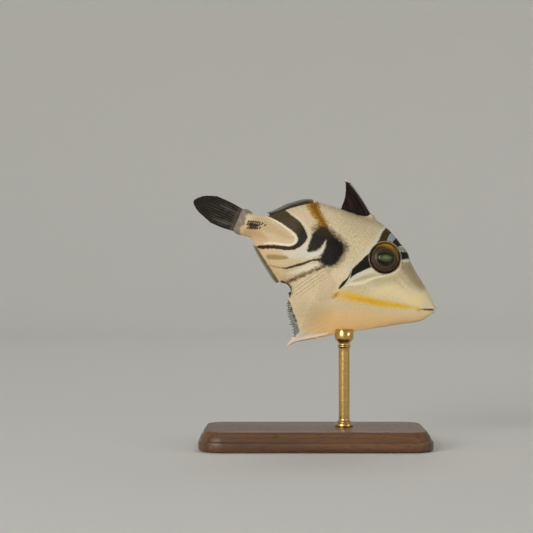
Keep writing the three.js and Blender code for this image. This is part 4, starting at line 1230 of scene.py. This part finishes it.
spineFin = dict(
    # each spine's foot and tip, radius and upward bow
    spines=[((19.1, 11.0), (26.7, 16.0), 0.6, 0.3), ((21.4, 10.5), (25.7, 14.0), 0.36, 0.1),
            ((23.2, 10.3), (25.25, 12.3), 0.3, 0.05)],
    tipKnob=((26.55, 16.05), (0.38, 0.3, 0.34)),
    membrane=(19.7, 25.1),
    edgeS=track([(0, 26.6), (0.33, 25.75), (0.66, 25.3), (1, 25.2)]),
    edgeH=track([(0, 15.9), (0.33, 14.1), (0.66, 12.4), (1, 11.3)]),
    barbs=17, barbRadius=0.17,
    voxel=0.055,
)
spineMarks = [
    mark("spineGrey", "#2a2621", 0.2, 0.95,
         strokes=[[(18.3, 11.4, 0.3), (19.4, 12.05, 0.5), (21.5, 13.3, 0.5), (24, 15.0, 0.42),
                   (26, 16.0, 0.3)]]),
    mark("spinePale", "#575048", 0.15, 0.6,
         strokes=[[(19.2, 12.3, 0.1), (21.4, 13.7, 0.16), (24, 15.4, 0.14), (25.8, 16.3, 0.1)]]),
    mark("membraneWarm", "#361d13", 0.5, 0.6,
         strokes=[[(24.2, 12.8, 0.2), (23.6, 11.6, 0.3)]]),
    mark("spineTipCream", "#d9cdb4", 0.1, 0.95,
         strokes=[[(26.3, 16.1, 0.2), (26.8, 16.1, 0.34)]]),
]


def membranePlace(u, v):
    s = lerp(*spineFin["membrane"], u)
    fold = 0.16 * np.sin(u * math.pi * 5) * v
    return at(lerp(s, spineFin["edgeS"](u), v),
              lerp(body["back"](s) - 0.4, spineFin["edgeH"](u), v), fold)


def spineFinParts():
    parts = [finSheet(membranePlace, (60, 60), 4, 0.0, thick=0.36)[:2],
             knob(at(*spineFin["tipKnob"][0]), spineFin["tipKnob"][1])]
    for (footS, footH), (tipS, tipH), radius, bow in spineFin["spines"]:
        line = [at(footS, footH), at((footS + tipS) / 2, (footH + tipH) / 2 + bow), at(tipS, tipH)]
        parts.append(rod(line, lambda t: radius * (1 - 0.6 * t), 60, 18))
    # three rows of barbs along the front of the first spine
    (footS, footH), (tipS, tipH), _, bow = spineFin["spines"][0]
    for i in range(spineFin["barbs"]):
        t = 0.08 + 0.05 * i
        s, h = lerp(footS, tipS, t), lerp(footH, tipH, t) + bow * math.sin(math.pi * t)
        for side in (-1, 0, 1):
            root = at(s, h + 0.18, 0.21 * side)
            tip = at(s - 0.32, h + 0.72 - 0.26 * t, 0.45 * side)
            parts.append(spike(root, tip, spineFin["barbRadius"], 0.7, 4, 8))
    return parts


# Resin cast with dark pigment, dry-brushed along its ridges: rough, with a low sheen
def pigmentedResin():
    material, tree, surface = newMaterial("pigmentedResin", IOR=1.5, Specular_IOR_Level=0.1,
                                          Coat_Weight=0.05, Coat_Roughness=0.4)
    _, noise, wobble = unevenPaint(tree, 0.3846, 5.0, 0.7)
    ground = addNode(tree, "Mix", {0: noise, 6: "#120b08", 7: "#241510"}, out=2, data_type="RGBA")
    colour = painted(tree, ground, spineMarks, wobble)
    rough = addNode(tree, "MapRange", {0: noise, 1: 0.3, 2: 0.7, 3: 0.45, 4: 0.65})
    bump = addNode(tree, "Bump", {"Strength": 0.4, "Distance": 0.04 * mm, "Height": noise})
    feed(tree, surface, {"Base Color": colour, "Roughness": rough, "Normal": bump})
    return material


def makeSpineFin():
    points, quads = voxelSkin(spineFinParts(), spineFin["voxel"])
    points = relax(points, edgesOf(quads), 4)
    return fishPiece("spinyDorsalFin", points, quads.tolist(), spineMarks)


settle(makeSpineFin(), pigmentedResin(), "dark_spine", "first_dorsal_fin")
print("spiny fin done")

# Stand: an oiled walnut block and a lacquered brass rod

stand = dict(
    size=(46, 26), corner=5,
    # the block's edge, as (inset, height): a small foot, a step and a hollow moulding
    edge=[(0.7, 0.0), (0.12, 0.3), (0.0, 0.7), (0.0, 1.75), (0.05, 1.9), (0.32, 2.0), (0.42, 2.12),
          (0.5, 2.5), (0.68, 2.95), (1.0, 3.35), (1.12, 3.5), (1.2, 3.75), (1.4, 3.93), (1.7, 4.0)],
    rodRadius=1.1, cradleRadius=1.9,
    # the rod's turned foot, as (radius, height), and its neck and cradle, as (radius, depth)
    foot=[(1.75, 3.9), (1.8, 3.95), (1.8, 4.55), (1.7, 4.72), (1.45, 4.8), (1.42, 4.9), (1.5, 5.0),
          (1.42, 5.12), (1.22, 5.2), (1.1, 5.4)],
    neck=[(1.12, 3.8), (1.3, 3.6), (1.38, 3.48), (1.3, 3.36), (1.14, 3.15), (1.14, 2.9), (1.4, 2.5),
          (1.7, 2.2), (1.87, 1.9), (1.9, 1.7), (1.9, 0.08), (1.82, 0)],
)


# Rings about an upright line through middle, from (radius, height) pairs.
def turned(middle, profile, around):
    radii, heights = np.array(profile, float).T[..., None]
    turn = circle(around)
    return np.stack([middle[0] + radii * np.cos(turn), middle[1] + radii * np.sin(turn),
                     heights + 0 * turn], axis=-1)


def makeBlock():
    half = np.array(stand["size"]) / 2
    turn = np.linspace(0, math.pi / 2, 14)
    rings = []
    for inset, height in stand["edge"]:
        radius = stand["corner"] - inset
        ring = []
        for k, signs in enumerate([(1, 1), (-1, 1), (-1, -1), (1, -1)]):
            x, y = (half - stand["corner"]) * signs
            angle = turn + k * math.pi / 2
            ring.append(np.column_stack([x + radius * np.cos(angle), y + radius * np.sin(angle),
                                         np.full(len(turn), height)]))
        rings.append(np.concatenate(ring))
    verts, faces = loft(rings)
    block = newObject("walnutBlock", verts * mm, faces)
    block.data.set_sharp_from_angle(angle=math.radians(50))
    return block


# Pattern scales for a place in metres, from the pattern's sizes in mm
def perMetre(sizes):
    return [1 / (size * mm) for size in sizes]


walnut = dict(
    dark="#452b1a", light="#785233", pore="#24140c",
    lie=(0.12, 0.05, 0.06),  # how the grain is turned against the block
    grain=(22.2, 1.111, 1.667),  # the pattern along and across the block, rings 1.1 apart
    poreSize=(1.43, 0.154, 0.154),
)


# Black walnut, planed and rubbed with oil: straight brown grain with dark pores, a soft sheen
def oiledWalnut():
    material, tree, surface = newMaterial("oiledWalnut", IOR=1.48, Coat_Weight=0.12,
                                          Coat_Roughness=0.35)
    place = addNode(tree, "TexCoord", out="Object")
    grain = addNode(tree, "Mapping", {"Vector": place, "Rotation": walnut["lie"],
                                      "Scale": perMetre(walnut["grain"])})
    bend = addNode(tree, "TexNoise", {"Vector": grain, "Scale": 0.35, "Detail": 3.0})
    rings = addNode(tree, "TexWave", {"Vector": grain, "Scale": 0.3, "Distortion": 9.0,
                                      "Detail": 4.0, "Detail Scale": 1.4}, "Fac", bands_direction="Y")
    mixed = addNode(tree, "Math", {0: rings, 1: 0.3, 2: bend}, operation="MULTIPLY_ADD")
    tone = addNode(tree, "MapRange", {0: mixed, 1: 0.25, 2: 1.0})
    wood = addNode(tree, "Mix", {0: tone, 6: walnut["dark"], 7: walnut["light"]},
                   out=2, data_type="RGBA")
    porePlace = addNode(tree, "Mapping", {"Vector": place, "Scale": perMetre(walnut["poreSize"])})
    pores = addNode(tree, "TexNoise", {"Vector": porePlace, "Scale": 1.0, "Detail": 2.0})
    pits = addNode(tree, "MapRange", {0: pores, 1: 0.56, 2: 0.7})
    filled = addNode(tree, "Math", {0: pits, 1: 0.7}, operation="MULTIPLY")
    wood = addNode(tree, "Mix", {0: filled, 6: wood, 7: walnut["pore"]}, out=2, data_type="RGBA")
    rough = addNode(tree, "MapRange", {0: pits, 3: 0.38, 4: 0.6})
    bump = addNode(tree, "Bump", {"Strength": 0.3, "Distance": 0.04 * mm, "Height": pits},
                   invert=True)
    feed(tree, surface, {"Base Color": wood, "Roughness": rough, "Normal": bump})
    return material


def makeRod():
    low, high = np.array(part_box("stand_rod"), float) / mm
    top, middle = high[2], (low + high)[:2] / 2
    profile = stand["foot"] + [(stand["rodRadius"], z) for z in np.linspace(5.6, top - 4.0, 24)]
    profile += [(radius, top - depth) for radius, depth in stand["neck"]]
    profile += [(radius, top) for radius in np.linspace(stand["cradleRadius"] - 0.15, 0.02, 26)]
    verts, faces = loft(turned(middle, profile, 96))
    # The cradle's top takes the shape of the belly that rests in it
    under = BVHTree.FromObject(skin, bpy.context.evaluated_depsgraph_get())
    for v in verts[verts[:, 2] > top - 0.1]:
        start = Vector((v[0], v[1], top - 4)) * mm
        hit = under.ray_cast(start, Vector((0, 0, 1)), 10 * mm)[0]
        if hit is not None:
            v[2] = min(v[2], hit.z / mm + 0.02)
    return newObject("brassRod", verts * mm, faces)


brass = dict(
    colours=("#c79f58", "#d8b56e"), tarnish=2.5,
    turning=(3.33, 3.33, 0.1205),  # the lathe's marks across and up the rod
)


# Turned and polished brass under clear lacquer: warm mirror with fine turning marks
def lacqueredBrass():
    material, tree, surface = newMaterial("lacqueredBrass", Metallic=1.0, Coat_Weight=0.6,
                                          Coat_Roughness=0.08)
    place = addNode(tree, "TexCoord", out="Object")
    marks = addNode(tree, "Mapping", {"Vector": place, "Scale": perMetre(brass["turning"])})
    lines = addNode(tree, "TexNoise", {"Vector": marks, "Scale": 1.0, "Detail": 2.0})
    tarnish = addNode(tree, "TexNoise", {"Vector": place, "Scale": 1 / (brass["tarnish"] * mm),
                                         "Detail": 3.0})
    colour = addNode(tree, "Mix", {0: tarnish, 6: brass["colours"][0], 7: brass["colours"][1]},
                     out=2, data_type="RGBA")
    rough = addNode(tree, "MapRange", {0: lines, 1: 0.3, 2: 0.7, 3: 0.16, 4: 0.3})
    bump = addNode(tree, "Bump", {"Strength": 0.12, "Distance": 0.02 * mm, "Height": lines})
    feed(tree, surface, {"Base Color": colour, "Roughness": rough, "Normal": bump})
    return material


settle(makeBlock(), oiledWalnut(), "stand_wood", "stand_base")
settle(makeRod(), lacqueredBrass(), "stand_brass", "stand_rod")
print("stand done")

# Studio: a paper bowl, soft lamps and a pale room, in metres

studio = dict(
    floor=0.55, bend=0.25, wall=0.9,
    # lamp: (degrees to the camera's right, degrees up, distance, size, watts)
    lamps=dict(key=(-34, 15, 0.75, 0.45, 3.5), fill=(54, 0, 0.75, 0.45, 2.2),
               back=(170, 48, 0.75, 0.4, 0.9)),
    aim=0.036, lampTint=(1.0, 0.985, 0.96),
    room=0.3, roomTint="#f1f2f3",
)


# Matt seamless background paper: no sheen, the faintest fibre
def seamlessPaper():
    material, tree, surface = newMaterial("seamlessPaper", Roughness=0.9, IOR=1.45)
    place = addNode(tree, "TexCoord", out="Object")
    fibre = addNode(tree, "TexNoise", {"Vector": place, "Scale": 1 / (1.111 * mm), "Detail": 3.0})
    colour = addNode(tree, "Mix", {0: fibre, 6: "#d9d8d4", 7: "#dddcd8"}, out=2, data_type="RGBA")
    feed(tree, surface, {"Base Color": colour})
    return material


def makePaper():
    floor, bend = studio["floor"], studio["bend"]
    profile = [(radius, 0.0) for radius in (0.002, 0.05, 0.15, 0.3, 0.45)]
    profile += [(floor + bend * math.sin(a), bend * (1 - math.cos(a)))
                for a in np.linspace(0, math.pi / 2, 20)]
    profile += [(floor + bend, height) for height in (0.4, 0.6, studio["wall"])]
    around = 128
    verts, faces = loft(turned((0, 0), profile, around))
    paper = newObject("paper", verts[:-1], faces[:-around])  # open above
    paper.data.materials.append(seamlessPaper())


def hangLamp(name, aside, up, distance, size, watts):
    lamp = bpy.data.lights.new(name, "AREA")
    lamp.energy, lamp.size, lamp.shape, lamp.color = watts, size, "DISK", studio["lampTint"]
    item = bpy.data.objects.new(name, lamp)
    a, b = math.radians(aside), math.radians(up)
    way = Vector((math.sin(a) * math.cos(b), -math.cos(a) * math.cos(b), math.sin(b)))
    item.location = way * distance + Vector((0, 0, studio["aim"]))
    item.rotation_euler = way.to_track_quat("Z", "Y").to_euler()
    bpy.context.scene.collection.objects.link(item)


makePaper()
for name, lamp in studio["lamps"].items():
    hangLamp(name, *lamp)
room = bpy.data.worlds.new("room")
room.use_nodes = True
feed(room.node_tree, room.node_tree.nodes["Background"],
     {"Color": studio["roomTint"], "Strength": studio["room"]})
bpy.context.scene.world = room
bpy.context.scene.view_settings.view_transform = "Standard"
print("studio done")

# Camera, level with the fish's middle; width is what it sees across at the fish, in mm

view = dict(distance=350, width=106.6, middle=(-9.65, 36.04), sensor=36)

lens = bpy.data.cameras.new("camera")
lens.sensor_width = view["sensor"]
lens.lens = view["sensor"] * view["distance"] / view["width"]
lens.clip_start = 0.01
camera = bpy.data.objects.new("camera", lens)
camera.location = (view["middle"][0] * mm, -view["distance"] * mm, view["middle"][1] * mm)
camera.rotation_euler = (math.pi / 2, 0, 0)
bpy.context.scene.collection.objects.link(camera)
bpy.context.scene.camera = camera
